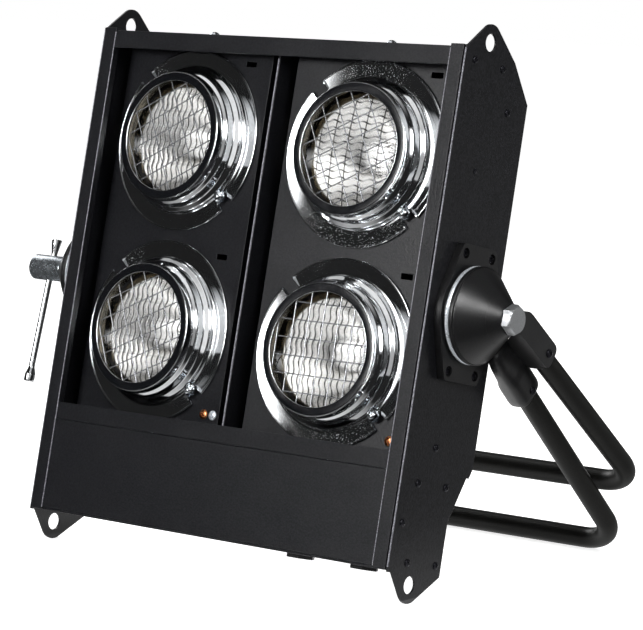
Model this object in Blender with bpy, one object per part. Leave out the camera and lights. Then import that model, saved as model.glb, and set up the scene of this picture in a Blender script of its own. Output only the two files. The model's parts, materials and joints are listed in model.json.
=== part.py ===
"""Audience blinder: four sealed beam lamps in a leaning sheet housing, held by two tube yokes.

Metres, +Z up, front towards -Y. The housing is modelled square on, x to its right, y to its back and
z up its face, under an empty that leans it back until its lower ears and the inner yoke both stand
on the floor. Each yoke is modelled hanging straight down from the pivot under an empty of its own.
"""

import math

import bmesh
import bpy
from mathutils import Vector

# Fits, the number of sides of round pieces, and how far a cutter runs past what it cuts
GAP = 0.0003
SHEET = 0.0012
TRAY_SHEET = 0.0012
ROUND_SIDES = 22
LAMP_SIDES = 20
SHAFT_SIDES = 16
SMALL_SIDES = 10
BEND_STEPS = 6
SLOT_STEPS = 4
PAST = 0.01
WELD = 1e-7
CREASE = math.radians(32)
SOFT_EDGE = 0.0015

# Housing
HOUSING_DEPTH = 0.108
FLANGE_WIDTH = 0.014
FLANGE_FOLD = 0.008
BAR_SET_BACK = 0.0008
TOP_DROP = 0.002
TOP_BAR = 0.017
TOP_FLAT = 0.079
BOTTOM_FLAT = 0.081
SHOULDER_DROP = 0.035
HEEL_RISE = 0.011
REAR_FOOT = 0.040
SHELF_HEIGHT = 0.087
SHELF_BAR = 0.016
SHELF_DEPTH = 0.094
COVER_FOLD = 0.010
DIVIDER_THICKNESS = 0.002
DIVIDER_SET_BACK = 0.0095
DIVIDER_DEPTH = 0.064
VENT_WIDTH = 0.004
VENT_LENGTH = 0.046
VENT_PITCH = 0.020
VENTS_PER_GROUP = 6
VENT_DROP = 0.089

# Side plates with a lifting ear at each end
PLATE_THICKNESS = 0.002
PLATE_SET_BACK = 0.002
EAR_RADIUS = 0.0165
EAR_HOLE_RADIUS = 0.008
EAR_DEPTH = 0.037
EAR_RISE = 0.008
EAR_DROP = 0.011
EAR_FRONT_TOP = 0.0036
EAR_FRONT_BOTTOM = 0.0079
NOTCH_RISE = 0.002
PLATE_DROP = 0.0014

# Lamp trays
TRAY_AXIS_Y = 0.037
TRAY_MARGIN = 0.004
DIVIDER_ROOM = 0.0142
SIDE_ROOM = 0.0158
TRAY_FACE = 0.0148
TRAY_BACK = 0.008
TRAY_TOE = math.radians(2.0)
TRAY_CLEARANCE = 0.0035
TRIM_SPACING = 0.0092
UPPER_MARGIN = 0.0144
LOWER_MARGIN = 0.0094
TRAY_HOLE_ROOM = 0.00485
SLOT_SIZE = (0.0125, 0.005)
SLOT_INSET = (0.0218, 0.011)
PIN_RADIUS = 0.003
PIN_HEAD_RADIUS = 0.0055
PIN_HEAD = 0.0025
PIN_REACH = 0.006

# Lamps, trims and guards
LAMP_RADIUS = 0.05715
LAMP_RIM = 0.0045
LAMP_SEAT = 0.014
LENS_CROWN = 0.0065
LAMP_DEPTH = 0.0645
LAMP_BASE_RADIUS = 0.012
GLASS_WALL = 0.003
LEAD_HOLE = 0.004
FLANGE_REACH = 0.0165
FLANGE_BEAD = 0.0028
FLANGE_SHEET = 0.0013
TRIM_ROOM = 0.00285
TIER_STEPS = (0.0055, 0.004)
TIER_HEIGHTS = (0.0085, 0.0195, 0.0257)
TRIM_WALL = 0.0012
GUARD_INSET = 0.0005
GUARD_BAND = 0.0072
GUARD_THICKNESS = 0.0028
MESH_THICKNESS = 0.0014
MESH_RIM = 0.0035
MESH_WIRE = 0.0014
MESH_PITCH = 0.0162
MESH_CELLS = 8
NOTCH_WIDTH = 0.013
CLAMP_HEIGHT = 0.0060
CLAMP_SHANK = (0.002, 0.0035)
CLAMP_HEAD = (0.0052, 0.0065)
CLAMP_ANGLE = math.radians(-43)
MESH_TURNS = {"left": (-28, -25), "right": (-27, 0)}

# Pivot, on the right a bolt and on the left a stud with a clamp handle
PIVOT_Y = 0.057
BASE_HALF = (0.027, 0.061)
BASE_CORNER = 0.005
BASE_BULGE = 0.0455
BASE_THICKNESS = 0.0077
BASE_BOSS = (0.042, 0.0020)
RECESS_SIZE = (0.009, 0.013)
RECESS_INSET = (0.0065, 0.0085)
RING_RADIUS = 0.044
RING_THICKNESS = 0.0038
SHAFT_RADIUS = 0.008
CONE_RIM = 0.004
CONE_LENGTH = 0.0253
CONE_TIP_RADIUS = 0.0170
BOSS_RADIUS = 0.0135
BOSS_THICKNESS = 0.0097
HEX_ACROSS = 0.024
HEX_HEIGHT = 0.0087
HUB_RADIUS = 0.0125
HUB_LENGTH = 0.0415
HUB_BORE_DEPTH = 0.014
BAR_RADIUS = 0.00325
BAR_END_RADIUS = 0.0048
BAR_END_LENGTH = 0.014
BAR_ABOVE = 0.0285
BAR_BELOW = 0.1135
BAR_TURN = math.radians(3.7)

# Yokes of bent tube
TUBE_RADIUS = 0.010
TUBE_WALL = 0.0015
BEND_RADIUS = 0.040
TUBE_CLEARANCE = 0.002
INNER_LENGTH = 0.3438
INNER_OFFSET = -0.0022
INNER_ANGLE = math.radians(58.6)
INNER_ARM_WIDTH = 0.033
INNER_ARM_TOP = 0.018
INNER_ARM_END = 0.112
INNER_ARM_BEVEL = 0.0035
INNER_ARM_CLEARANCE = 0.004
INNER_TUBE_START = 0.090
INNER_SOCKET_WALL = 0.0011
INNER_SCREW = 0.1035
OUTER_LENGTH = 0.300
OUTER_OFFSET = 0.0119
OUTER_ANGLE = math.radians(63.4)
OUTER_ARM_END = 0.082
OUTER_CORNER = 0.006
OUTER_SOCKET_START = 0.044
OUTER_TUBE_START = 0.052
OUTER_SOCKET_WALL = 0.0017
OUTER_SCREW = 0.0726
SCREW_HEAD = (0.004, 0.002)
SCREW_SHANK = 0.0018

# Cable entries and terminals in the lower compartment
GLAND_FROM_END = (0.1265, 0.0545)
GLAND_Y = 0.045
GLAND_ACROSS = 0.024
GLAND_HEAD = 0.0045
GLAND_THREAD = 0.0097
GLAND_LENGTH = 0.011
GLAND_BORE = 0.0065
BLOCK_SIZE = (0.058, 0.022, 0.018)
BLOCK_PLACE = (-0.020, 0.045)

# Worked out from the sizes above: the lamps set the trims, the trims the trays, the trays the housing
TOP_TIER = (LAMP_RADIUS + TRIM_ROOM, TIER_HEIGHTS[2])
MIDDLE_TIER = (TOP_TIER[0] + TIER_STEPS[1], TIER_HEIGHTS[1])
LOW_TIER = (MIDDLE_TIER[0] + TIER_STEPS[0], TIER_HEIGHTS[0])
FLANGE_RADIUS = LOW_TIER[0] + FLANGE_REACH
GUARD_RADIUS = TOP_TIER[0] - GUARD_INSET
GUARD_OPENING = GUARD_RADIUS - GUARD_BAND
TRAY_HOLE_RADIUS = LAMP_RADIUS + TRAY_HOLE_ROOM
TRAY_WIDTH = 2 * (FLANGE_RADIUS + TRAY_MARGIN)
TRAY_AXIS_X = DIVIDER_ROOM + TRAY_WIDTH / 2
SLOT_PLACE = (FLANGE_RADIUS - SLOT_INSET[0], FLANGE_RADIUS - SLOT_INSET[1])
LOWER_LAMP = SHELF_HEIGHT + LOWER_MARGIN + FLANGE_RADIUS
UPPER_LAMP = LOWER_LAMP + 2 * FLANGE_RADIUS + TRIM_SPACING
LAMP_HEIGHTS = (UPPER_LAMP, LOWER_LAMP)
HOUSING_WIDTH = 2 * (TRAY_AXIS_X + TRAY_WIDTH / 2 + SIDE_ROOM)
HOUSING_HEIGHT = UPPER_LAMP + FLANGE_RADIUS + UPPER_MARGIN
REAR_SHOULDER = HOUSING_HEIGHT - SHOULDER_DROP
REAR_HEEL = SHELF_HEIGHT + HEEL_RISE
PLATE_NOTCH = SHELF_HEIGHT + NOTCH_RISE
VENT_HEIGHT = HOUSING_HEIGHT - VENT_DROP
PIVOT_Z = HOUSING_HEIGHT / 2
RECESS_PLACE = (BASE_HALF[0] - RECESS_INSET[0], BASE_HALF[1] - RECESS_INSET[1])
GLAND_X = [HOUSING_WIDTH / 2 - distance for distance in GLAND_FROM_END]
TOP = HOUSING_HEIGHT - TOP_DROP
INSIDE = HOUSING_WIDTH / 2 - SHEET - GAP
WINDOW = HOUSING_WIDTH / 2 - FLANGE_WIDTH - GAP
PLATE_X = HOUSING_WIDTH / 2 + GAP
BASE_X = PLATE_X + PLATE_THICKNESS + GAP
RING_X = BASE_X + BASE_THICKNESS + BASE_BOSS[1] + GAP
CONE_X = RING_X + RING_THICKNESS + GAP
BOSS_X = CONE_X + CONE_LENGTH + GAP
ARM_FACE = BOSS_X + BOSS_THICKNESS
HEAD_X = ARM_FACE + GAP
OUTER_HALF = ARM_FACE - OUTER_SOCKET_WALL - GAP - TUBE_RADIUS
INNER_HALF = OUTER_HALF - 2 * TUBE_RADIUS - TUBE_CLEARANCE
TRAY_LOW = SHELF_HEIGHT + SHEET + TRAY_CLEARANCE
TRAY_HIGH = TOP - SHEET - TRAY_CLEARANCE / 2
MESH_BACK = TOP_TIER[1] - MESH_THICKNESS
MESH_SEAT_RADIUS = TOP_TIER[0] - TRIM_WALL * 1.4


def bore_for(shaft_radius, sides=SHAFT_SIDES):
    """Radius of a many-sided bore whose flats stay one gap clear of the shaft."""
    return (shaft_radius + GAP) / math.cos(math.pi / sides)


def clear_scene():
    for obj in list(bpy.data.objects):
        bpy.data.objects.remove(obj, do_unlink=True)


def finish(name, colour, roughness, metallic):
    material = bpy.data.materials.new(name)
    material.use_nodes = True
    shader = material.node_tree.nodes["Principled BSDF"]
    shader.inputs["Base Color"].default_value = (*colour, 1)
    shader.inputs["Roughness"].default_value = roughness
    shader.inputs["Metallic"].default_value = metallic
    material.diffuse_color = (*colour, 1)
    return material


def empty(name, parent=None, location=(0, 0, 0), rotation=(0, 0, 0)):
    obj = bpy.data.objects.new(name, None)
    obj.location = location
    obj.rotation_euler = rotation
    obj.parent = parent
    bpy.context.scene.collection.objects.link(obj)
    return obj


def solid(name, bm, material, parent, location=(0, 0, 0), rotation=(0, 0, 0)):
    """Turns a bmesh into a named object with smooth round faces."""
    bmesh.ops.remove_doubles(bm, verts=bm.verts, dist=WELD)
    bmesh.ops.recalc_face_normals(bm, faces=bm.faces)
    mesh = bpy.data.meshes.new(name)
    bm.to_mesh(mesh)
    bm.free()
    mesh.shade_smooth()
    mesh.set_sharp_from_angle(angle=CREASE)
    obj = bpy.data.objects.new(name, mesh)
    if material:
        mesh.materials.append(material)
    obj.location = location
    obj.rotation_euler = rotation
    obj.parent = parent
    bpy.context.scene.collection.objects.link(obj)
    return obj


def combine(target, tool, operation="DIFFERENCE"):
    """Cuts a hidden tool out of the target, or joins it to the target."""
    tool.hide_render = True
    tool.display_type = "WIRE"
    modifier = target.modifiers.new(tool.name, "BOOLEAN")
    modifier.operation = operation
    modifier.object = tool
    return target


def in_plane(plane, a, b, c):
    """Puts outline point a, b at depth c into the plane named by its two axes."""
    places = {"XY": (a, b, c), "YZ": (c, a, b), "XZ": (a, c, b)}
    return Vector(places[plane])


def prism(bm, plane, loops, low, high):
    """Extrudes a closed outline from low to high; any further loops are holes in it."""
    edges = []
    for loop in loops:
        verts = [bm.verts.new(in_plane(plane, a, b, low)) for a, b in loop]
        edges += [bm.edges.new((verts[i - 1], verts[i])) for i in range(len(verts))]
    filled = bmesh.ops.triangle_fill(bm, use_beauty=True, use_dissolve=False, edges=edges)
    faces = [item for item in filled["geom"] if isinstance(item, bmesh.types.BMFace)]
    raised = bmesh.ops.extrude_face_region(bm, geom=faces)
    verts = [item for item in raised["geom"] if isinstance(item, bmesh.types.BMVert)]
    bmesh.ops.translate(bm, verts=verts, vec=in_plane(plane, 0, 0, high - low))
    return bm


def block(bm, low, high):
    """A box between two corners."""
    (x0, y0, z0), (x1, y1, z1) = low, high
    return prism(bm, "XY", [[(x0, y0), (x1, y0), (x1, y1), (x0, y1)]], z0, z1)


def turn(bm, axis, profile, sides=ROUND_SIDES, centre=(0, 0, 0)):
    """Spins a closed profile of (radius, place along the axis) points about an axis."""
    directions = {"X": ((0, 0, 1), (1, 0, 0)), "Y": ((1, 0, 0), (0, 1, 0)), "Z": ((1, 0, 0), (0, 0, 1))}
    out, along = (Vector(direction) for direction in directions[axis])
    start = Vector(centre)
    verts = [bm.verts.new(start + out * radius + along * place) for radius, place in profile]
    edges = []
    for i, vert in enumerate(verts):
        if profile[i][0] > 0 or profile[i - 1][0] > 0:
            edges.append(bm.edges.new((verts[i - 1], vert)))
    bmesh.ops.spin(
        bm, geom=verts + edges, axis=along, cent=start, angle=math.tau, steps=sides, use_merge=True
    )
    bmesh.ops.remove_doubles(bm, verts=bm.verts, dist=WELD)
    return bm


def disc(axis, radius, low, high, sides=SHAFT_SIDES, centre=(0, 0, 0), bm=None):
    """A plain cylinder along an axis."""
    profile = [(0, low), (radius, low), (radius, high), (0, high)]
    return turn(bm or bmesh.new(), axis, profile, sides, centre)


def arc(centre, radius, start, end, steps):
    """Points round part of a circle, both ends included."""
    turns = [start + (end - start) * i / steps for i in range(steps + 1)]
    return [(centre[0] + radius * math.cos(t), centre[1] + radius * math.sin(t)) for t in turns]


def circle(centre, radius, sides):
    return arc(centre, radius, 0, math.tau * (sides - 1) / sides, sides - 1)


def hexagon(centre, across):
    return circle(centre, across / math.sqrt(3), 6)


def rounded_box(centre, size, radius, steps=3):
    """Outline of a rectangle with round corners."""
    points = []
    for quarter, (right, up) in enumerate(((1, 1), (-1, 1), (-1, -1), (1, -1))):
        corner = (centre[0] + right * (size[0] / 2 - radius), centre[1] + up * (size[1] / 2 - radius))
        points += arc(corner, radius, quarter * math.pi / 2, (quarter + 1) * math.pi / 2, steps)
    return points


def slot_outline(centre, size):
    """Outline of a slot with half-round ends, its long side along the second axis."""
    radius = size[0] / 2
    reach = size[1] / 2 - radius
    upper = arc((centre[0], centre[1] + reach), radius, 0, math.pi, SLOT_STEPS)
    lower = arc((centre[0], centre[1] - reach), radius, math.pi, math.tau, SLOT_STEPS)
    return upper + lower


def offset_path(points, distance):
    """The same path moved to its right, with mitred corners."""
    moved = []
    for i, point in enumerate(points):
        here = Vector(point)
        before = here - Vector(points[i - 1]) if i else None
        after = Vector(points[i + 1]) - here if i + 1 < len(points) else None
        sides = [Vector((leg.y, -leg.x)).normalized() for leg in (before, after) if leg]
        middle = sum(sides, Vector((0, 0))).normalized()
        moved.append(tuple(here + middle * distance / middle.dot(sides[0])))
    return moved


def bent_sheet(points, thickness):
    """Closed outline of a folded sheet: its face line, and back along the other side."""
    return list(points) + offset_path(points, thickness)[::-1]


def mirrored(points, side):
    return [(side * x, y) for x, y in points]


def point_tangents(centre, radius, point):
    """Angles, seen from the centre, at which the two tangents from a point touch a circle."""
    dx, dy = point[0] - centre[0], point[1] - centre[1]
    facing = math.atan2(dy, dx)
    spread = math.acos(radius / math.hypot(dx, dy))
    return facing - spread, facing + spread


def between(start, end, steps):
    """Splits a turn from start to end, taken anticlockwise."""
    return start, start + (end - start) % math.tau, steps


def side_outline():
    """The side plate: an ear above and below, and its rear corners cut like the housing's."""
    foot, top = (EAR_DEPTH, -EAR_DROP), (EAR_DEPTH, HOUSING_HEIGHT + EAR_RISE)
    front_low, rear_low = (EAR_FRONT_BOTTOM, -PLATE_DROP), (BOTTOM_FLAT, -PLATE_DROP)
    rear_high, front_high = (TOP_FLAT, TOP), (EAR_FRONT_TOP, HOUSING_HEIGHT)
    share = (PLATE_NOTCH - REAR_FOOT) / (REAR_HEEL - REAR_FOOT)
    heel_y = BOTTOM_FLAT + (HOUSING_DEPTH - BOTTOM_FLAT) * share
    low_start = point_tangents(foot, EAR_RADIUS, front_low)[1]
    low_end = point_tangents(foot, EAR_RADIUS, rear_low)[0]
    high_start = point_tangents(top, EAR_RADIUS, rear_high)[1]
    high_end = point_tangents(top, EAR_RADIUS, front_high)[0]
    outline = [(PLATE_SET_BACK, -PLATE_DROP), front_low]
    outline += arc(foot, EAR_RADIUS, *between(low_start, low_end, BEND_STEPS))
    outline += [rear_low, (BOTTOM_FLAT, PLATE_NOTCH), (heel_y, PLATE_NOTCH)]
    outline += [(HOUSING_DEPTH, REAR_HEEL), (HOUSING_DEPTH, REAR_SHOULDER), rear_high]
    outline += arc(top, EAR_RADIUS, *between(high_start, high_end, BEND_STEPS))
    outline += [front_high, (PLATE_SET_BACK, HOUSING_HEIGHT)]
    return [outline] + [circle(ear, EAR_HOLE_RADIUS, SHAFT_SIDES) for ear in (foot, top)]


def rear_corners():
    """Cutter for the sloped rear corners of a housing wall, wider than the housing."""
    past = 3 * PAST
    upper, lower = Vector((TOP_FLAT, TOP)), Vector((HOUSING_DEPTH, REAR_SHOULDER))
    slope = (upper - lower).normalized() * past
    heel, foot = Vector((HOUSING_DEPTH, REAR_HEEL)), Vector((BOTTOM_FLAT, REAR_FOOT))
    heel += (heel - foot).normalized() * past
    bm = bmesh.new()
    back = (lower - slope).x + past
    high = [lower - slope, (back, lower.y - slope.y), (back, upper.y + slope.y), upper + slope]
    low = [heel, foot, (BOTTOM_FLAT, -past), (back, -past), (back, heel.y)]
    prism(bm, "YZ", [high], -HOUSING_WIDTH, HOUSING_WIDTH)
    prism(bm, "YZ", [low], -HOUSING_WIDTH, HOUSING_WIDTH)
    return bm


def make_frames(housing, paint):
    """Left and right uprights: the front flange, its folded edge and the side wall in one sheet."""
    outer = HOUSING_WIDTH / 2
    inner = outer - FLANGE_WIDTH
    path = [(outer, HOUSING_DEPTH), (outer, 0), (inner, 0), (inner, FLANGE_FOLD)]
    section = bent_sheet(path, SHEET)
    cutter = solid("rear_corner_cutter", rear_corners(), None, housing)
    for name, side in (("frame_right", 1), ("frame_left", -1)):
        bm = prism(bmesh.new(), "XY", [mirrored(section, side)], 0, HOUSING_HEIGHT)
        combine(solid(name, bm, paint, housing), cutter)


def front_notches(name, housing, low, high):
    """Cutter that clears a cross panel's front corners for the folded flanges."""
    bm = bmesh.new()
    for side in (-1, 1):
        inner, outer = sorted((side * WINDOW, side * HOUSING_WIDTH))
        block(bm, (inner, -PAST, low), (outer, FLANGE_FOLD + GAP, high))
    return solid(name, bm, None, housing)


def pin_holes(name, housing, low, high):
    bm = bmesh.new()
    for side in (-1, 1):
        disc("Z", bore_for(PIN_RADIUS), low, high, centre=(side * TRAY_AXIS_X, TRAY_AXIS_Y, 0), bm=bm)
    return solid(name, bm, None, housing)


def make_cross_panels(housing, paint):
    """Top panel and shelf: each a bar across the front with a flat behind it that holds the tray pins."""
    top_path = [(BAR_SET_BACK, TOP - TOP_BAR), (BAR_SET_BACK, TOP), (TOP_FLAT - SHEET - GAP, TOP)]
    shelf_path = [(BAR_SET_BACK, SHELF_HEIGHT + SHELF_BAR), (BAR_SET_BACK, SHELF_HEIGHT)]
    shelf_path.append((SHELF_DEPTH, SHELF_HEIGHT))
    panels = (("top_panel", top_path, SHEET), ("shelf", shelf_path, -SHEET))
    for name, path, thickness in panels:
        bm = prism(bmesh.new(), "YZ", [bent_sheet(path, thickness)], -INSIDE, INSIDE)
        panel = solid(name, bm, paint, housing)
        heights = [point[1] for point in path]
        low, high = min(heights) - PAST, max(heights) + PAST
        combine(panel, front_notches(name + "_notches", housing, low, high))
        combine(panel, pin_holes(name + "_pin_holes", housing, low, high))


def make_covers(housing, paint):
    """Rear cover with its vents, the lower front cover and the bottom panel."""
    rear = [(TOP_FLAT, TOP), (HOUSING_DEPTH, REAR_SHOULDER), (HOUSING_DEPTH, REAR_HEEL)]
    rear += [(BOTTOM_FLAT, REAR_FOOT), (BOTTOM_FLAT, 0)]
    bm = prism(bmesh.new(), "YZ", [bent_sheet(rear, SHEET)], -INSIDE, INSIDE)
    cover = solid("rear_cover", bm, paint, housing)
    bm = bmesh.new()
    for side in (-1, 1):
        for i in range(VENTS_PER_GROUP):
            across = side * TRAY_AXIS_X + (i - (VENTS_PER_GROUP - 1) / 2) * VENT_PITCH
            outline = slot_outline((across, VENT_HEIGHT), (VENT_WIDTH, VENT_LENGTH))
            prism(bm, "XZ", [outline], HOUSING_DEPTH - PAST, HOUSING_DEPTH + PAST)
    combine(cover, solid("vent_cutter", bm, None, housing))

    low, high = SHEET + GAP, SHELF_HEIGHT - GAP
    fold = BAR_SET_BACK + COVER_FOLD
    front = [(fold, low), (BAR_SET_BACK, low), (BAR_SET_BACK, high), (fold, high)]
    bm = prism(bmesh.new(), "YZ", [bent_sheet(front, SHEET)], -WINDOW, WINDOW)
    solid("lower_cover", bm, paint, housing)

    rear_edge = BOTTOM_FLAT - SHEET - GAP
    step = FLANGE_FOLD + GAP
    outline = [(-WINDOW, BAR_SET_BACK), (WINDOW, BAR_SET_BACK), (WINDOW, step), (INSIDE, step)]
    outline += [(INSIDE, rear_edge), (-INSIDE, rear_edge), (-INSIDE, step), (-WINDOW, step)]
    holes = [circle((x, GLAND_Y), bore_for(GLAND_THREAD), SHAFT_SIDES) for x in GLAND_X]
    bm = prism(bmesh.new(), "XY", [outline] + holes, 0, SHEET)
    solid("bottom_panel", bm, paint, housing)


def make_divider(housing, paint):
    bm = bmesh.new()
    half = DIVIDER_THICKNESS / 2
    low = (-half, DIVIDER_SET_BACK, SHELF_HEIGHT + SHEET + GAP)
    high = (half, DIVIDER_SET_BACK + DIVIDER_DEPTH, TOP - SHEET - GAP)
    block(bm, low, high)
    solid("centre_divider", bm, paint, housing)


def make_side_plates(housing, paint):
    for name, side in (("side_plate_right", 1), ("side_plate_left", -1)):
        low, high = sorted((side * PLATE_X, side * (PLATE_X + PLATE_THICKNESS)))
        solid(name, prism(bmesh.new(), "YZ", side_outline(), low, high), paint, housing)


def make_glands(housing, plastic):
    """Two hexagon cable entries under the bottom panel."""
    for name, x in zip(("cable_gland_inner", "cable_gland_outer"), GLAND_X):
        outline = hexagon((0, 0), GLAND_ACROSS)
        thread = circle((0, 0), GLAND_THREAD, SHAFT_SIDES)
        bore = circle((0, 0), GLAND_BORE, SHAFT_SIDES)
        bm = prism(bmesh.new(), "XY", [outline, bore], -GLAND_HEAD - GAP, -GAP)
        gland = solid(name, bm, plastic, housing, (x, GLAND_Y, 0))
        bm = prism(bmesh.new(), "XY", [thread, bore], -GLAND_HEAD / 2, GLAND_LENGTH)
        tool = solid(name + "_thread", bm, None, housing, (x, GLAND_Y, 0))
        combine(gland, tool, "UNION")


def make_terminal_block(housing, ceramic):
    """The block where the supply meets the lamp leads, with a raised barrier along its middle."""
    width, depth, height = BLOCK_SIZE
    rib, step = depth / 8, height * 2 / 3
    outline = [(-depth / 2, 0), (depth / 2, 0), (depth / 2, step), (rib, step)]
    outline += [(rib, height), (-rib, height), (-rib, step), (-depth / 2, step)]
    bm = prism(bmesh.new(), "YZ", [outline], -width / 2, width / 2)
    solid("terminal_block", bm, ceramic, housing, (*BLOCK_PLACE, SHEET + GAP))


def pan(bm, low, high):
    """The five faces of a box that is open at the back."""
    (x0, y0, z0), (x1, y1, z1) = low, high
    corners = ((x0, z0), (x1, z0), (x1, z1), (x0, z1))
    front = [bm.verts.new((x, y0, z)) for x, z in corners]
    back = [bm.verts.new((x, y1, z)) for x, z in corners]
    bm.faces.new(front)
    for i in range(4):
        bm.faces.new((front[i], front[i - 1], back[i - 1], back[i]))
    return bm


def make_tray(name, axis, paint):
    """A folded tray for one column of lamps, swivelling on two pins."""
    half = TRAY_WIDTH / 2
    bm = pan(bmesh.new(), (-half, -TRAY_FACE, TRAY_LOW), (half, TRAY_BACK, TRAY_HIGH))
    tray = solid(name, bm, paint, axis)
    thicken = tray.modifiers.new("sheet", "SOLIDIFY")
    thicken.thickness = TRAY_SHEET
    thicken.offset = -1
    thicken.use_even_offset = True
    bm = bmesh.new()
    for height in LAMP_HEIGHTS:
        opening = circle((0, height), TRAY_HOLE_RADIUS, ROUND_SIDES)
        prism(bm, "XZ", [opening], -TRAY_FACE - PAST, -TRAY_FACE + PAST)
        x, z = SLOT_PLACE[0], SLOT_PLACE[1] + height
        low = (x - SLOT_SIZE[0] / 2, -TRAY_FACE - PAST, z - SLOT_SIZE[1] / 2)
        block(bm, low, (x + SLOT_SIZE[0] / 2, -TRAY_FACE + PAST, z + SLOT_SIZE[1] / 2))
    for height in (TRAY_LOW, TRAY_HIGH):
        disc("Z", bore_for(PIN_RADIUS), height - PAST / 2, height + PAST / 2, bm=bm)
    combine(tray, solid(name + "_cutter", bm, None, axis))


def make_pins(housing, zinc):
    """Screws that the trays swivel on: one from above and one from below each tray."""
    for side, word in ((1, "right"), (-1, "left")):
        for end, up in (("top", 1), ("bottom", -1)):
            seat = TOP + GAP if up > 0 else SHELF_HEIGHT - GAP
            tip = TRAY_HIGH - PIN_REACH if up > 0 else TRAY_LOW + PIN_REACH
            head = seat + up * PIN_HEAD
            profile = [(0, tip), (PIN_RADIUS, tip), (PIN_RADIUS, seat), (PIN_HEAD_RADIUS, seat)]
            profile += [(PIN_HEAD_RADIUS, (seat + head) / 2), (PIN_HEAD_RADIUS / 2, head), (0, head)]
            bm = turn(bmesh.new(), "Z", profile, SMALL_SIDES)
            solid(f"tray_pin_{end}_{word}", bm, zinc, housing, (side * TRAY_AXIS_X, TRAY_AXIS_Y, 0))


def trim_profile():
    """Section of the stepped chrome trim, as (radius, height in front of the tray)."""
    low_radius, low_top = LOW_TIER
    middle_radius, middle_top = MIDDLE_TIER
    top_radius, top = TOP_TIER
    seat = MESH_BACK - GAP
    sleeve = bore_for(LAMP_RADIUS, ROUND_SIDES)
    floor = LAMP_SEAT - LAMP_RIM - TRIM_WALL
    rim = FLANGE_RADIUS - SOFT_EDGE
    outside = [(FLANGE_RADIUS, GAP), (FLANGE_RADIUS, FLANGE_BEAD), (rim, FLANGE_BEAD)]
    outside += [(rim - FLANGE_SHEET, GAP + FLANGE_SHEET), (low_radius, GAP + FLANGE_SHEET)]
    outside += [(low_radius, low_top), (middle_radius, low_top + SOFT_EDGE), (middle_radius, middle_top)]
    outside += [(top_radius, middle_top + SOFT_EDGE), (top_radius, top)]
    lip = LAMP_RADIUS - TRIM_WALL
    inside = [(MESH_SEAT_RADIUS, top), (MESH_SEAT_RADIUS, seat), (lip, seat), (lip, LAMP_SEAT + GAP)]
    inside += [(sleeve, LAMP_SEAT + GAP), (sleeve, floor), (sleeve + TRIM_WALL, floor)]
    under = middle_top - TRIM_WALL
    inside += [(sleeve + TRIM_WALL, under), (middle_radius - TRIM_WALL, under)]
    inside += [(middle_radius - TRIM_WALL, low_top), (low_radius - TRIM_WALL, low_top - TRIM_WALL)]
    inside += [(low_radius - TRIM_WALL, GAP)]
    return [(radius, -height) for radius, height in outside + inside]


def make_trim(name, axis, place, chrome):
    """Stepped trim with a notch for the clamp screw and one across from it."""
    trim = solid(name, turn(bmesh.new(), "Y", trim_profile()), chrome, axis, place)
    bm = bmesh.new()
    for side in (-1, 1):
        near, far = sorted((side * (LOW_TIER[0] + SOFT_EDGE), side * (FLANGE_RADIUS + PAST)))
        block(bm, (near, -PAST, -NOTCH_WIDTH / 2), (far, PAST, NOTCH_WIDTH / 2))
    tool = solid(name + "_notches", bm, None, axis, place, (0, -CLAMP_ANGLE, 0))
    combine(trim, tool)


def make_guard_ring(name, axis, place, paint):
    low, high = TOP_TIER[1] + GAP, TOP_TIER[1] + GAP + GUARD_THICKNESS
    corners = ((GUARD_OPENING, low), (GUARD_RADIUS, low), (GUARD_RADIUS, high), (GUARD_OPENING, high))
    profile = [(radius, -height) for radius, height in corners]
    solid(name, turn(bmesh.new(), "Y", profile), paint, axis, place)


def clip(cell, rim):
    """The part of a convex cell that lies inside a convex anticlockwise rim."""
    for i, corner in enumerate(rim):
        start = Vector(rim[i - 1])
        along = Vector(corner) - start
        depths = [along.cross(Vector(point) - start) for point in cell]
        kept = []
        for j, point in enumerate(cell):
            before, after = depths[j - 1], depths[j]
            if (before > 0) != (after > 0):
                kept.append(tuple(Vector(cell[j - 1]).lerp(Vector(point), before / (before - after))))
            if after > 0:
                kept.append(point)
        cell = kept
    return cell


def area(points):
    pairs = [(points[i - 1], point) for i, point in enumerate(points)]
    return sum(a[0] * b[1] - b[0] * a[1] for a, b in pairs) / 2


def make_mesh(name, axis, place, turned, zinc):
    """Welded wire mesh behind the guard ring: crossing wires in a rim, one gap for each cell."""
    outer = MESH_SEAT_RADIUS * math.cos(math.pi / ROUND_SIDES) - GAP
    rim = circle((0, 0), outer - MESH_RIM, SHAFT_SIDES)
    half = (MESH_PITCH - MESH_WIRE) / 2
    loops = [circle((0, 0), outer, ROUND_SIDES)]
    for i in range(MESH_CELLS):
        for j in range(MESH_CELLS):
            x = (i - (MESH_CELLS - 1) / 2) * MESH_PITCH
            z = (j - MESH_CELLS / 2) * MESH_PITCH
            left, right, low, high = x - half, x + half, z - half, z + half
            cell = clip([(left, low), (right, low), (right, high), (left, high)], rim)
            if len(cell) > 2 and area(cell) > MESH_PITCH ** 2 / 8:
                loops.append(cell)
    bm = prism(bmesh.new(), "XZ", loops, -MESH_BACK - MESH_THICKNESS, -MESH_BACK)
    solid(name, bm, zinc, axis, place, (0, turned, 0))


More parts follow.
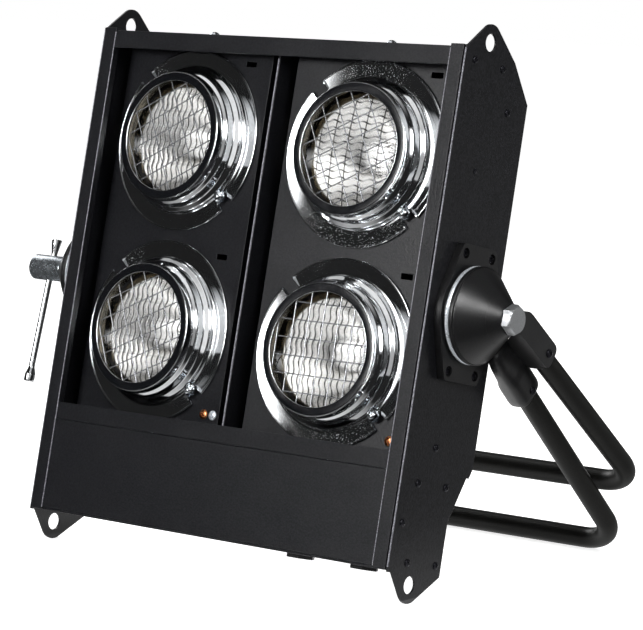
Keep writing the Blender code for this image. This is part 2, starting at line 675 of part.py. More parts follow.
def lamp_profile(inset):
    """Half of the lamp's section, from its lens crown to its base, moved in by a wall's thickness."""
    edge, front = LAMP_RADIUS - LAMP_RIM / 2 - inset, LAMP_SEAT - inset
    crown = front + LENS_CROWN
    rim_back = LAMP_SEAT - LAMP_RIM
    back = LAMP_SEAT + LENS_CROWN - LAMP_DEPTH + inset
    base = LAMP_BASE_RADIUS - inset
    profile = [(0, crown), (edge / 2, crown - LENS_CROWN / 4), (edge, front)]
    if not inset:
        profile += [(LAMP_RADIUS, front), (LAMP_RADIUS, rim_back)]
    for share in (0.4, 0.8):
        radius = math.sqrt(edge ** 2 + (base ** 2 - edge ** 2) * share)
        profile.append((radius, rim_back + (back - rim_back) * share))
    return profile + [(base, back)]


def make_lamp(name, axis, place, glass):
    """Sealed beam lamp: a crowned lens fused to a hollow parabolic reflector, with a hole for its leads."""
    outside, inside = lamp_profile(0), lamp_profile(GLASS_WALL)
    leads = [(LEAD_HOLE, outside[-1][1]), (LEAD_HOLE, inside[-1][1])]
    profile = outside + leads + inside[::-1]
    bm = turn(bmesh.new(), "Y", [(radius, -height) for radius, height in profile], LAMP_SIDES)
    solid(name, bm, glass, axis, place)


def make_clamp_screw(name, axis, place, zinc):
    """Radial clamp screw in the trim's notch, its round head outwards."""
    shank, shank_length = CLAMP_SHANK
    head, head_length = CLAMP_HEAD
    start = LOW_TIER[0] + GAP
    neck = start + shank_length
    end = neck + head_length
    profile = [(0, start), (shank, start), (shank, neck), (head, neck), (head, neck + head_length / 2)]
    profile += [(head / 2, end), (0, end)]
    bm = turn(bmesh.new(), "X", profile, SMALL_SIDES, (0, -CLAMP_HEIGHT, 0))
    solid(name, bm, zinc, axis, place, (0, -CLAMP_ANGLE, 0))


def base_outline():
    """Base plate: a tall rectangle swelling to a round bulge at the pivot's height."""
    corner = (BASE_HALF[0] - BASE_CORNER, BASE_HALF[1] - BASE_CORNER)
    lean = math.acos((BASE_BULGE - BASE_CORNER) / math.hypot(*corner))
    touch = math.atan2(corner[1], corner[0]) - lean
    points = arc((0, 0), BASE_BULGE, -touch, touch, 4)
    points += arc(corner, BASE_CORNER, touch, math.pi / 2, 3)
    points += arc((-corner[0], corner[1]), BASE_CORNER, math.pi / 2, math.pi - touch, 3)
    points += arc((0, 0), BASE_BULGE, math.pi - touch, math.pi + touch, 4)
    points += arc((-corner[0], -corner[1]), BASE_CORNER, math.pi + touch, 1.5 * math.pi, 3)
    points += arc((corner[0], -corner[1]), BASE_CORNER, 1.5 * math.pi, math.tau - touch, 3)
    return points


def make_bases(pivot, cast, zinc):
    """On each side a cast base plate with four screw recesses, and a bright bearing ring on its boss."""
    recesses = []
    for across in (-1, 1):
        for up in (-1, 1):
            recesses.append(slot_outline((across * RECESS_PLACE[0], up * RECESS_PLACE[1]), RECESS_SIZE))
    for word, side in (("right", 1), ("left", -1)):
        low, high = sorted((side * BASE_X, side * (BASE_X + BASE_THICKNESS)))
        bm = prism(bmesh.new(), "YZ", [base_outline()] + recesses, low, high)
        plate = solid(f"base_plate_{word}", bm, cast, pivot)
        middle, face = side * (BASE_X + BASE_THICKNESS / 2), side * (RING_X - GAP)
        boss = solid(f"base_boss_{word}", disc("X", BASE_BOSS[0], middle, face, ROUND_SIDES), None, pivot)
        combine(plate, boss, "UNION")
        bore = disc("X", bore_for(SHAFT_RADIUS), side * (BASE_X - PAST), side * (RING_X + PAST))
        combine(plate, solid(f"base_bore_{word}", bore, None, pivot))
        inner, outer = side * RING_X, side * (RING_X + RING_THICKNESS)
        bore_radius = bore_for(SHAFT_RADIUS)
        profile = [(bore_radius, inner), (RING_RADIUS, inner), (RING_RADIUS, outer), (bore_radius, outer)]
        solid(f"bearing_ring_{word}", turn(bmesh.new(), "X", profile), zinc, pivot)


def make_pivots(pivot, zinc):
    """The hexagon bolt on the right and the plain stud on the left, both fixed in their base plates."""
    start = BASE_X + GAP
    bolt = solid("pivot_bolt", disc("X", SHAFT_RADIUS, start, HEAD_X + HEX_HEIGHT / 2), zinc, pivot)
    bm = prism(bmesh.new(), "YZ", [hexagon((0, 0), HEX_ACROSS)], HEAD_X, HEAD_X + HEX_HEIGHT)
    combine(bolt, solid("pivot_bolt_head", bm, None, pivot), "UNION")
    end = HEAD_X + HUB_BORE_DEPTH - GAP
    solid("pivot_stud", disc("X", SHAFT_RADIUS, -end, -start), zinc, pivot)


def make_clamp(pivot, zinc):
    """Clamp handle: a hub on the stud and a bar that slides through it."""
    axis = empty("clamp_axis", pivot, (-HEAD_X, 0, 0), (-BAR_TURN, 0, 0))
    bore = bore_for(SHAFT_RADIUS)
    profile = [(bore, 0), (HUB_RADIUS, 0), (HUB_RADIUS, -HUB_LENGTH + SOFT_EDGE)]
    profile += [(HUB_RADIUS - SOFT_EDGE, -HUB_LENGTH), (0, -HUB_LENGTH)]
    profile += [(0, -HUB_BORE_DEPTH), (bore, -HUB_BORE_DEPTH)]
    hub = solid("clamp_hub", turn(bmesh.new(), "X", profile), zinc, axis)
    across = -HUB_LENGTH / 2
    reach = HUB_RADIUS + PAST
    hole = disc("Z", bore_for(BAR_RADIUS, SMALL_SIDES), -reach, reach, SMALL_SIDES, (across, 0, 0))
    combine(hub, solid("clamp_hub_hole", hole, None, axis))
    neck = BAR_END_LENGTH / 3
    profile = [(0, -BAR_BELOW), (BAR_END_RADIUS, -BAR_BELOW), (BAR_END_RADIUS, -BAR_BELOW + neck)]
    profile += [(BAR_RADIUS, -BAR_BELOW + BAR_END_LENGTH), (BAR_RADIUS, BAR_ABOVE - BAR_END_LENGTH)]
    profile += [(BAR_END_RADIUS, BAR_ABOVE - neck), (BAR_END_RADIUS, BAR_ABOVE), (0, BAR_ABOVE)]
    solid("tommy_bar", turn(bmesh.new(), "Z", profile, SMALL_SIDES), zinc, axis, (across, 0, 0))


def make_yoke_tube(name, axis, sizes, paint):
    """Bent hollow tube: down one leg, across and up the other leg."""
    half, length, offset, start = sizes
    bend = (half - BEND_RADIUS, -length + BEND_RADIUS)
    corner = arc(bend, BEND_RADIUS, 0, -math.pi / 2, BEND_STEPS)
    right = [(half, -start)] + corner
    path = right + [(-x, z) for x, z in right[::-1]]
    curve = bpy.data.curves.new(name, "CURVE")
    curve.dimensions = "3D"
    curve.bevel_depth = TUBE_RADIUS
    curve.bevel_resolution = 3
    spline = curve.splines.new("POLY")
    spline.points.add(len(path) - 1)
    for point, (x, z) in zip(spline.points, path):
        point.co = (x, offset, z, 1)
    spline.use_smooth = True
    curve.materials.append(paint)
    obj = bpy.data.objects.new(name, curve)
    obj.parent = axis
    bpy.context.scene.collection.objects.link(obj)
    wall = obj.modifiers.new("wall", "SOLIDIFY")
    wall.thickness = TUBE_WALL
    wall.offset = -1
    wall.use_even_offset = True


def make_arm_screw(name, axis, side, face, place, zinc):
    """Pan head screw that pins a tube in its socket."""
    radius, height = SCREW_HEAD
    seat, tip = face + GAP, face - INNER_SOCKET_WALL
    profile = [(0, tip), (SCREW_SHANK, tip), (SCREW_SHANK, seat), (radius, seat)]
    profile += [(radius, seat + height / 2), (radius / 2, seat + height), (0, seat + height)]
    bm = turn(bmesh.new(), "X", [(r, side * x) for r, x in profile], SMALL_SIDES)
    solid(name, bm, zinc, axis, (0, *place))


def make_inner_yoke(pivot, cast, tube_paint, black_zinc):
    """The yoke that stands on the floor: a cone and socket cast in one on each side, and its tube."""
    axis = empty("inner_yoke_axis", pivot, (0, 0, 0), (INNER_ANGLE, 0, 0))
    tube_hole, bore = bore_for(TUBE_RADIUS), bore_for(SHAFT_RADIUS)
    screw_bore = bore_for(SCREW_SHANK, SMALL_SIDES)
    face = INNER_HALF + TUBE_RADIUS + GAP + INNER_SOCKET_WALL
    back = INNER_HALF - TUBE_RADIUS - GAP - INNER_SOCKET_WALL * 2
    web_face = OUTER_HALF - TUBE_RADIUS - GAP - OUTER_SOCKET_WALL - GAP * 2
    over_base = BASE_X + BASE_THICKNESS + GAP * 2
    reach = math.hypot(*BASE_HALF) + INNER_ARM_CLEARANCE
    under_ring = -RING_RADIUS - INNER_ARM_CLEARANCE
    cone_end = CONE_X + CONE_LENGTH
    sweep = math.hypot(OUTER_ARM_END, OUTER_OFFSET + TUBE_RADIUS + OUTER_SOCKET_WALL + GAP) + GAP
    for word, side in (("right", 1), ("left", -1)):
        profile = [(bore, CONE_X), (RING_RADIUS, CONE_X), (RING_RADIUS, CONE_X + CONE_RIM)]
        profile += [(RING_RADIUS - SOFT_EDGE, CONE_X + CONE_RIM + SOFT_EDGE)]
        profile += [(CONE_TIP_RADIUS, cone_end - SOFT_EDGE), (CONE_TIP_RADIUS - SOFT_EDGE, cone_end)]
        profile.append((bore, cone_end))
        cone = turn(bmesh.new(), "X", [(r, side * x) for r, x in profile])
        arm = solid(f"cone_arm_{word}", cone, cast, axis)
        profile = [(CONE_X + GAP, -INNER_ARM_TOP), (web_face, -INNER_ARM_TOP), (web_face, -sweep)]
        profile += [(face, -sweep - SOFT_EDGE), (face, -INNER_ARM_END), (back, -INNER_ARM_END)]
        profile += [(back, back - over_base - reach), (over_base, -reach)]
        profile += [(over_base, under_ring), (CONE_X + GAP, under_ring + SOFT_EDGE)]
        low, high = INNER_OFFSET - INNER_ARM_WIDTH / 2, INNER_OFFSET + INNER_ARM_WIDTH / 2
        bm = prism(bmesh.new(), "XZ", [mirrored(profile, side)], low, high)
        web = solid(f"cone_arm_web_{word}", bm, None, axis)
        soften = web.modifiers.new("soft edges", "BEVEL")
        soften.width = INNER_ARM_BEVEL
        soften.segments = 1
        soften.limit_method = "ANGLE"
        soften.angle_limit = math.radians(50)
        combine(arm, web, "UNION")
        centre = (side * INNER_HALF, INNER_OFFSET, 0)
        bm = disc("Z", tube_hole, -INNER_ARM_END - PAST, -INNER_TUBE_START + GAP, centre=centre)
        combine(arm, solid(f"inner_socket_{word}", bm, None, axis))
        centre = (0, INNER_OFFSET, -INNER_SCREW)
        bm = disc("X", screw_bore, side * INNER_HALF, side * (face + PAST), SMALL_SIDES, centre)
        combine(arm, solid(f"inner_screw_hole_{word}", bm, None, axis))
        bore_tool = disc("X", bore, side * (CONE_X - PAST), side * (cone_end + PAST))
        combine(arm, solid(f"cone_bore_{word}", bore_tool, None, axis))
        make_arm_screw(f"inner_arm_screw_{word}", axis, side, face, centre[1:], black_zinc)
    sizes = (INNER_HALF, INNER_LENGTH, INNER_OFFSET, INNER_TUBE_START)
    make_yoke_tube("inner_yoke_tube", axis, sizes, tube_paint)


def make_outer_yoke(pivot, cast, tube_paint, black_zinc):
    """The second yoke: a flat arm with a deep socket on each side, and its tube."""
    axis = empty("outer_yoke_axis", pivot, (0, 0, 0), (OUTER_ANGLE, 0, 0))
    wall = TUBE_RADIUS + GAP + OUTER_SOCKET_WALL
    face, back = OUTER_HALF + wall, OUTER_HALF - wall
    inner, outer = OUTER_OFFSET - wall, OUTER_OFFSET + wall
    screw_bore = bore_for(SCREW_SHANK, SMALL_SIDES)
    for word, side in (("right", 1), ("left", -1)):
        boss = disc("X", BOSS_RADIUS, side * BOSS_X, side * ARM_FACE, ROUND_SIDES)
        arm = solid(f"outer_arm_{word}", boss, cast, axis)
        end, corner = -OUTER_ARM_END, OUTER_CORNER
        outline = [(BOSS_RADIUS - GAP, 0), (outer, -BOSS_RADIUS), (outer, end + corner)]
        outline += [(outer - corner, end), (inner + corner, end), (inner, end + corner)]
        outline += [(inner, -BOSS_RADIUS * 1.6), (-BOSS_RADIUS * 0.8, -BOSS_RADIUS * 0.6)]
        outline.append((-BOSS_RADIUS + GAP, 0))
        low, high = sorted((side * (BOSS_X + GAP / 2), side * (ARM_FACE - GAP / 2)))
        flat = solid(f"outer_flat_{word}", prism(bmesh.new(), "YZ", [outline], low, high), None, axis)
        combine(arm, flat, "UNION")
        section = rounded_box(((face + back) / 2, OUTER_OFFSET), (face - back, outer - inner), corner)
        bm = prism(bmesh.new(), "XY", [mirrored(section, side)], end + GAP, -OUTER_SOCKET_START)
        combine(arm, solid(f"outer_socket_{word}", bm, None, axis), "UNION")
        centre = (side * OUTER_HALF, OUTER_OFFSET, 0)
        bm = disc("Z", bore_for(TUBE_RADIUS), end - PAST, -OUTER_TUBE_START + GAP, centre=centre)
        combine(arm, solid(f"outer_tube_hole_{word}", bm, None, axis))
        bore = disc("X", bore_for(SHAFT_RADIUS), side * (BOSS_X - PAST), side * (ARM_FACE + PAST))
        combine(arm, solid(f"outer_bore_{word}", bore, None, axis))
        centre = (0, OUTER_OFFSET, -OUTER_SCREW)
        bm = disc("X", screw_bore, side * OUTER_HALF, side * (face + PAST), SMALL_SIDES, centre)
        combine(arm, solid(f"outer_screw_hole_{word}", bm, None, axis))
        make_arm_screw(f"outer_arm_screw_{word}", axis, side, face, centre[1:], black_zinc)
    sizes = (OUTER_HALF, OUTER_LENGTH, OUTER_OFFSET, OUTER_TUBE_START)
    make_yoke_tube("outer_yoke_tube", axis, sizes, tube_paint)


def lean_angle():
    """Lean at which the lower ears and the inner yoke's crossbar touch the floor together."""
    direction = Vector((math.sin(INNER_ANGLE), -math.cos(INNER_ANGLE)))
    across = Vector((math.cos(INNER_ANGLE), math.sin(INNER_ANGLE)))
    crossbar = Vector((PIVOT_Y, PIVOT_Z)) + direction * INNER_LENGTH + across * INNER_OFFSET
    rise, run = crossbar.y + EAR_DROP, crossbar.x - EAR_DEPTH
    return math.acos((TUBE_RADIUS - EAR_RADIUS) / math.hypot(rise, run)) - math.atan2(run, rise)


def stand_on_floor(root):
    """Moves everything so that the origin is the middle of the footprint, on the floor."""
    bpy.context.view_layer.update()
    graph = bpy.context.evaluated_depsgraph_get()
    corners = []
    for obj in bpy.context.scene.objects:
        if obj.type in ("MESH", "CURVE") and not obj.hide_render:
            evaluated = obj.evaluated_get(graph)
            mesh = evaluated.to_mesh()
            corners += [evaluated.matrix_world @ vert.co for vert in mesh.vertices]
            evaluated.to_mesh_clear()
    lows = [min(corner[i] for corner in corners) for i in range(3)]
    highs = [max(corner[i] for corner in corners) for i in range(3)]
    root.location -= Vector(((lows[0] + highs[0]) / 2, (lows[1] + highs[1]) / 2, lows[2]))


def main():
    clear_scene()
    paint = finish("black_powder_coat", (0.020, 0.020, 0.022), 0.55, 0.0)
    cast = finish("black_casting", (0.018, 0.018, 0.020), 0.38, 0.0)
    tube_paint = finish("black_tube_paint", (0.018, 0.018, 0.020), 0.30, 0.0)
    ring_paint = finish("black_ring_paint", (0.020, 0.020, 0.022), 0.45, 0.0)
    chrome = finish("chrome", (0.80, 0.81, 0.83), 0.10, 1.0)
    zinc = finish("zinc_plate", (0.62, 0.63, 0.64), 0.32, 1.0)
    black_zinc = finish("black_zinc_plate", (0.030, 0.030, 0.032), 0.40, 1.0)
    glass = finish("lamp_glass", (0.86, 0.85, 0.80), 0.12, 0.0)
    plastic = finish("black_plastic", (0.025, 0.025, 0.027), 0.50, 0.0)
    ceramic = finish("white_ceramic", (0.80, 0.78, 0.73), 0.45, 0.0)

    housing = empty("housing_frame", None, (0, 0, 0), (-lean_angle(), 0, 0))
    pivot = empty("pivot_axis", housing, (0, PIVOT_Y, PIVOT_Z))
    make_frames(housing, paint)
    make_cross_panels(housing, paint)
    make_covers(housing, paint)
    make_divider(housing, paint)
    make_side_plates(housing, paint)
    make_glands(housing, plastic)
    make_terminal_block(housing, ceramic)
    make_pins(housing, zinc)

    for word, side in (("left", -1), ("right", 1)):
        place = (side * TRAY_AXIS_X, TRAY_AXIS_Y, 0)
        axis = empty(f"tray_axis_{word}", housing, place, (0, 0, side * TRAY_TOE))
        make_tray(f"tray_{word}", axis, paint)
        for row, height, turned in zip(("top", "bottom"), LAMP_HEIGHTS, MESH_TURNS[word]):
            centre = (0, -TRAY_FACE, height)
            label = f"{row}_{word}"
            make_trim(f"trim_ring_{label}", axis, centre, chrome)
            make_guard_ring(f"guard_ring_{label}", axis, centre, ring_paint)
            make_mesh(f"guard_mesh_{label}", axis, centre, math.radians(turned), zinc)
            make_lamp(f"lamp_{label}", axis, centre, glass)
            make_clamp_screw(f"clamp_screw_{label}", axis, centre, zinc)

    make_bases(pivot, cast, zinc)
    make_pivots(pivot, zinc)
    make_clamp(pivot, zinc)
    make_inner_yoke(pivot, cast, tube_paint, black_zinc)
    make_outer_yoke(pivot, cast, tube_paint, black_zinc)
    stand_on_floor(housing)


main()
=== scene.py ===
# %% [markdown]
# # Dressing an audience blinder
# An audience blinder is a bank of sealed beam lamps that is turned on the audience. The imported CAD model
# gives the places of its pieces, and these cells put finer surfaces and finishes on them. Everything is
# measured in millimetres in the frame of the piece that carries it, and turned into metres once, when a
# mesh is made.

# %% Load the frame
import json
import math

import bmesh
import bpy
import numpy as np
from mathutils import Matrix, Vector
from mathutils.geometry import tessellate_polygon

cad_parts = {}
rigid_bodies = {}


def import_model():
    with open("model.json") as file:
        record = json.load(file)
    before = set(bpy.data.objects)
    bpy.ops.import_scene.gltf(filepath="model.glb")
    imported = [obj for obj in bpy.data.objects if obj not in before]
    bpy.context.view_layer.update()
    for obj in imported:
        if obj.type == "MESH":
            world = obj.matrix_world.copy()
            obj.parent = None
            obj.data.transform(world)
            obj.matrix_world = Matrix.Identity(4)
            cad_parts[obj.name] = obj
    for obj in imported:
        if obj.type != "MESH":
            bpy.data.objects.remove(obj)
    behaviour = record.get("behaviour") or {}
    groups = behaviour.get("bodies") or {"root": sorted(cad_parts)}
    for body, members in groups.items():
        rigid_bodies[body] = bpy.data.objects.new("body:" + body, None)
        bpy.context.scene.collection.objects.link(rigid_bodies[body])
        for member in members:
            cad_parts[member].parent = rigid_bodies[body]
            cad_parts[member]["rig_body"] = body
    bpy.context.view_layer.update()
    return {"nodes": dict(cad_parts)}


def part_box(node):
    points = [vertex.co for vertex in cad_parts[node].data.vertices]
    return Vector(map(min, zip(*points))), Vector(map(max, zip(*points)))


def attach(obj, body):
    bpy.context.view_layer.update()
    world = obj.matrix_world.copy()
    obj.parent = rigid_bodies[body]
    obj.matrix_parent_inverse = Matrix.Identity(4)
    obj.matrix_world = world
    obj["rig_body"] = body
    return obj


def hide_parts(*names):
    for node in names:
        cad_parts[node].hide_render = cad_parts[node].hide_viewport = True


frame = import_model()

# %% [markdown]
# ## The frames of the pieces
# The housing leans back, and its trays, yokes and clamp turn about axes of their own. One matrix for
# each lets a lamp be drawn square on, at its own centre, and still land where the CAD put it.

# %% Frames
MM = 0.001
LEAN = 12.39819
HOUSING_AT = (16.4, -181.0018, 35.0708)
PIVOT_AT = (0, 57, 232)
INNER_TURN, OUTER_TURN, BAR_TURN = 58.6, 63.4, -3.7
SIDES = {"left": -1, "right": 1}
TRAY_ACROSS, TRAY_DEEP, TRAY_FACE, TOE_OUT = 104.2, 37, -14.8, 2
LAMP_HEIGHTS = {"top": 363.6, "bottom": 182.4}


def placed(parent, at=(0, 0, 0), axis="X", degrees=0):
    """A frame at a point of its parent, in mm, turned about one of its own axes."""
    return parent @ Matrix.Translation(at) @ Matrix.Rotation(math.radians(degrees), 4, axis)


HOUSING = placed(Matrix.Identity(4), HOUSING_AT, "X", -LEAN)
PIVOT = placed(HOUSING, PIVOT_AT)
INNER = placed(PIVOT, degrees=INNER_TURN)
OUTER = placed(PIVOT, degrees=OUTER_TURN)
TRAYS, LAMPS, TRAY_OF = {}, {}, {}
for word, side in SIDES.items():
    TRAYS[word] = placed(HOUSING, (side * TRAY_ACROSS, TRAY_DEEP, 0), "Z", side * TOE_OUT)
    for row, height in LAMP_HEIGHTS.items():
        LAMPS[f"{row}_{word}"] = placed(TRAYS[word], (0, TRAY_FACE, height), "X", 90)
        TRAY_OF[f"{row}_{word}"] = f"tray_{word}"
print("lamp centres, mm:", {name: [round(v) for v in m.translation] for name, m in LAMPS.items()})

# %% [markdown]
# ## Surfaces from arrays
# Each new surface is a grid of points worked out with numpy and handed to Blender in one go, which is
# far quicker than adding vertices one by one. A profile spun round an axis, an outline given a
# thickness and a circle carried along a path cover nearly everything here.

# %% Grids


def quads(rows, cols, close_rows=False, close_cols=False):
    """Four-sided faces between neighbouring points of a rows by cols grid."""
    i, j = np.meshgrid(
        np.arange(rows if close_rows else rows - 1),
        np.arange(cols if close_cols else cols - 1),
        indexing="ij",
    )
    below, beside = (i + 1) % rows, (j + 1) % cols
    corners = (i * cols + j, below * cols + j, below * cols + beside, i * cols + beside)
    return np.stack(corners, -1).reshape(-1, 4)


def surface(grid, close_rows=False, close_cols=False):
    """Shapes are lists of (points, faces); this one is a single grid of points."""
    rows, cols = grid.shape[:2]
    return [(grid.reshape(-1, 3), quads(rows, cols, close_rows, close_cols))]


print("faces of a 3 by 3 grid, open and closed:", len(quads(3, 3)), len(quads(3, 3, True, True)))

# %% [markdown]
# ## Outlines
# A folded, cut or spun piece starts as a flat outline. Its corners are rounded, because a corner that is
# slightly round catches a line of light, and its round stretches are arcs.

# %% Outlines


def rounded(corners, steps=5):
    """A closed outline with its corners (x, y, radius) turned into arcs.

    An arc from a to b round corner c is drawn as (1-t)^2 a + 2t(1-t) c + t^2 b.
    """
    points = []
    for i, (x, y, radius) in enumerate(corners):
        corner = np.array((x, y), float)
        if radius == 0:
            points.append(corner[None])
            continue
        before = np.array(corners[i - 1][:2], float) - corner
        after = np.array(corners[(i + 1) % len(corners)][:2], float) - corner
        reach_before, reach_after = np.linalg.norm(before), np.linalg.norm(after)
        cosine = np.dot(before, after) / (reach_before * reach_after)
        half = math.acos(max(-1, min(1, cosine))) / 2
        length = min(radius / math.tan(half), 0.49 * reach_before, 0.49 * reach_after)
        a, b = corner + before * length / reach_before, corner + after * length / reach_after
        t = np.linspace(0, 1, steps + 1)[:, None]
        points.append((1 - t) ** 2 * a + 2 * t * (1 - t) * corner + t**2 * b)
    return np.concatenate(points)


def arc(centre, radius, start, end, steps):
    """Points round part of a circle, angles in degrees."""
    turn = np.radians(np.linspace(start, end, steps + 1))
    return np.stack([centre[0] + radius * np.cos(turn), centre[1] + radius * np.sin(turn)], -1)


def circle(centre, radius, steps=48):
    """Points all the way round; six of them make a hexagon."""
    return arc(centre, radius, 0, 360 * (1 - 1 / steps), steps - 1)


print("points of a circle and of a rounded triangle:", len(circle((0, 0), 1)),
      len(rounded([(0, 0, 1), (9, 0, 1), (0, 9, 1)])))

# %% [markdown]
# ## Spun shapes
# Rings, cones, bolts and reflectors are turned or pressed round an axis on the real lamp, so they are
# spun here: the outline of one half section is carried round, all the way or through part of a turn.

# %% Spun shapes


def ring_points(profile, angles, axis):
    """Point (radius, along) of a profile at turn a: (radius cos a, radius sin a, along), axis last."""
    radius, along = np.asarray(profile, float).T[:, :, None]
    flat = np.stack([radius * np.cos(angles), radius * np.sin(angles), along + 0 * angles], -1)
    return np.roll(flat, (axis + 1) % 3, axis=-1)


def revolve(profile, steps=96, axis=2):
    """A closed profile of (radius, along) spun all the way round an axis."""
    angles = np.arange(steps) * math.tau / steps
    return surface(ring_points(profile, angles, axis), close_rows=True, close_cols=True)


def sector(profile, start, end, steps, axis=2):
    """A closed profile spun through part of a turn, with its two ends capped."""
    grid = ring_points(profile, np.radians(np.linspace(start, end, steps + 1)), axis)
    rows, cols = grid.shape[:2]
    ends = np.arange(rows)
    caps = np.stack([ends * cols, ends[::-1] * cols + cols - 1])
    return surface(grid, close_rows=True) + [(grid.reshape(-1, 3), caps)]


def torus(radius, height, wire, steps=120, sides=10):
    """A wire ring: a circle of the wire's radius spun at the ring's radius."""
    turn = np.arange(sides) * math.tau / sides
    return revolve(np.stack([radius + wire * np.cos(turn), height + wire * np.sin(turn)], -1), steps)


print("faces of a wire ring:", len(torus(55, 0, 1)[0][1]))

# %% [markdown]
# ## Plates and tubes
# A cut sheet is its outline at two levels, with a wall round each edge and its holes left open. A bent
# tube is a circle carried along the middle line and kept square to it.

# %% Plates and tubes


def plate(outline, low, high, holes=(), axis=2):
    """A flat outline, with holes, given a thickness from low to high along an axis."""
    loops = [np.asarray(loop, float) for loop in (outline, *holes)]
    flat = np.concatenate(loops)
    cap = tessellate_polygon([[Vector((*point, 0)) for point in loop] for loop in loops])
    levels = [np.column_stack([flat, np.full(len(flat), level)]) for level in (low, high)]
    points = np.roll(np.concatenate(levels), (axis + 1) % 3, axis=-1)
    shapes, start = [(points, np.concatenate([np.array(cap), np.array(cap)[:, ::-1] + len(flat)]))], 0
    for loop in loops:
        here = start + np.arange(len(loop))
        after = np.roll(here, -1)
        shapes.append((points, np.stack([here, after, after + len(flat), here + len(flat)], -1)))
        start += len(loop)
    return shapes


def tube(path, radius, sides=24):
    """A circle carried along a path, with both ends capped.

    At each point of the path the circle is radius x (cos t x side + sin t x up), where side and up are
    square to the path and to each other.
    """
    path = np.asarray(path, float)
    along = np.gradient(path, axis=0)
    along /= np.linalg.norm(along, axis=1)[:, None]
    spread = np.linalg.svd(path - path.mean(0))[2]
    square = spread[2] if abs(along @ spread[2]).max() < 0.1 else spread[1]
    side = np.cross(along, square)
    side /= np.linalg.norm(side, axis=1)[:, None]
    up = np.cross(side, along)
    turn = np.arange(sides) * math.tau / sides
    ring = np.cos(turn)[None, :, None] * side[:, None] + np.sin(turn)[None, :, None] * up[:, None]
    grid = path[:, None] + radius * ring
    ends = np.arange(sides)
    caps = np.stack([ends, ends[::-1] + (len(path) - 1) * sides])
    return surface(grid, close_cols=True) + [(grid.reshape(-1, 3), caps)]


def moved(shapes, matrix):
    """The same shapes carried by a matrix in mm."""
    m = np.array(matrix)
    return [(points @ m[:3, :3].T + m[:3, 3], faces) for points, faces in shapes]


def mirrored(shapes, side):
    """The shapes of the right side as they are, or turned over for the left, where side is -1."""
    return [(points * (side, 1, 1), faces) for points, faces in shapes]


washer = plate(circle((0, 0), 9), 0, 1, [circle((0, 0), 4)])
print("faces of a washer, flats and two walls:", [len(faces) for _, faces in washer])

# %% [markdown]
# ## From shapes to pieces
# A piece is welded, has its faces turned outward, is smoothed except at its sharp edges, and is told
# which body carries it, and the CAD nodes it stands for are hidden. A small bevel on every sharp edge
# matters most on black paint, where the bright lines along the edges are what the eye reads as shape.

# %% Finish a piece
# Points nearer than this are one, in metres
MERGE = 2e-6
# Angles between faces, in degrees: under FLAT they join, and over the others an edge is sharp in a
# folded sheet, gets its bevel, or is sharp in a new piece
FLAT, FOLD, BEVELLED, SMOOTH = 0.4, 12, 35, 38


def weld(mesh, sharp, whole_faces=False):
    """Merges points, turns faces outward and marks edges over sharp degrees; flat faces can join."""
    bm = bmesh.new()
    bm.from_mesh(mesh)
    bmesh.ops.remove_doubles(bm, verts=bm.verts, dist=MERGE)
    if whole_faces:
        bmesh.ops.dissolve_limit(bm, angle_limit=math.radians(FLAT), verts=bm.verts, edges=bm.edges)
    bmesh.ops.recalc_face_normals(bm, faces=bm.faces)
    bm.to_mesh(mesh)
    bm.free()
    mesh.shade_smooth()
    mesh.set_sharp_from_angle(angle=math.radians(sharp))


def finish(name, mesh, material, body, nodes, bevel, segments=2):
    """Gives a piece its finish, its bevel and the body that carries it, and hides the nodes it stands for.
    """
    obj = bpy.data.objects.new(name, mesh)
    bpy.context.scene.collection.objects.link(obj)
    mesh.materials.clear()
    mesh.materials.append(material)
    if bevel:
        edge = obj.modifiers.new("edge", "BEVEL")
        edge.width = bevel * MM
        edge.segments = segments
        edge.limit_method = "ANGLE"
        edge.angle_limit = math.radians(BEVELLED)
        edge.harden_normals = True
    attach(obj, body)
    box = ""
    if nodes:
        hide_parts(*nodes)
        boxes = [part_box(node) for node in nodes]
        corners = np.array([obj.matrix_world @ vertex.co for vertex in mesh.vertices])
        off = max(
            np.abs(corners.min(0) - np.min([low for low, _ in boxes], 0)).max(),
            np.abs(corners.max(0) - np.max([high for _, high in boxes], 0)).max(),
        )
        box = f", box within {1000 * off:.1f} mm of its node"
    print(f"{name}: {len(mesh.polygons)} faces{box}")
    return obj


print("an edge over", BEVELLED, "degrees gets a bevel")

# %% [markdown]
# A piece comes about in one of two ways. Most are built from shapes, and a folded sheet whose CAD solid
# already has the right form is a welded copy of it. A piece that is named after its node has shown at
# the end of its name, because the node keeps its own.

# %% Make a piece


def make(name, shapes, place, material, body, nodes=(), bevel=0, segments=2, smooth=SMOOTH):
    """Builds one piece from shapes in a frame's mm."""
    points, loops, sizes, start = [], [], [], 0
    for corners, faces in moved(shapes, place):
        points.append(corners)
        loops.append((np.asarray(faces) + start).ravel())
        sizes.append(np.full(len(faces), np.shape(faces)[1]))
        start += len(corners)
    points, loops, sizes = np.concatenate(points) * MM, np.concatenate(loops), np.concatenate(sizes)
    mesh = bpy.data.meshes.new(name)
    mesh.vertices.add(len(points))
    mesh.vertices.foreach_set("co", points.astype(np.float32).ravel())
    mesh.loops.add(len(loops))
    mesh.loops.foreach_set("vertex_index", loops.astype(np.int32))
    mesh.polygons.add(len(sizes))
    mesh.polygons.foreach_set("loop_start", (np.cumsum(sizes) - sizes).astype(np.int32))
    mesh.update(calc_edges=True)
    mesh.validate()
    weld(mesh, smooth)
    return finish(name, mesh, material, body, nodes, bevel, segments)


def carry_over(node, material, bevel):
    """A welded copy of a CAD node that a bevel can work on."""
    source = frame["nodes"][node]
    mesh = source.data.copy()
    weld(mesh, FOLD, whole_faces=True)
    return finish(f"{node}_shown", mesh, material, source["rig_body"], [node], bevel)


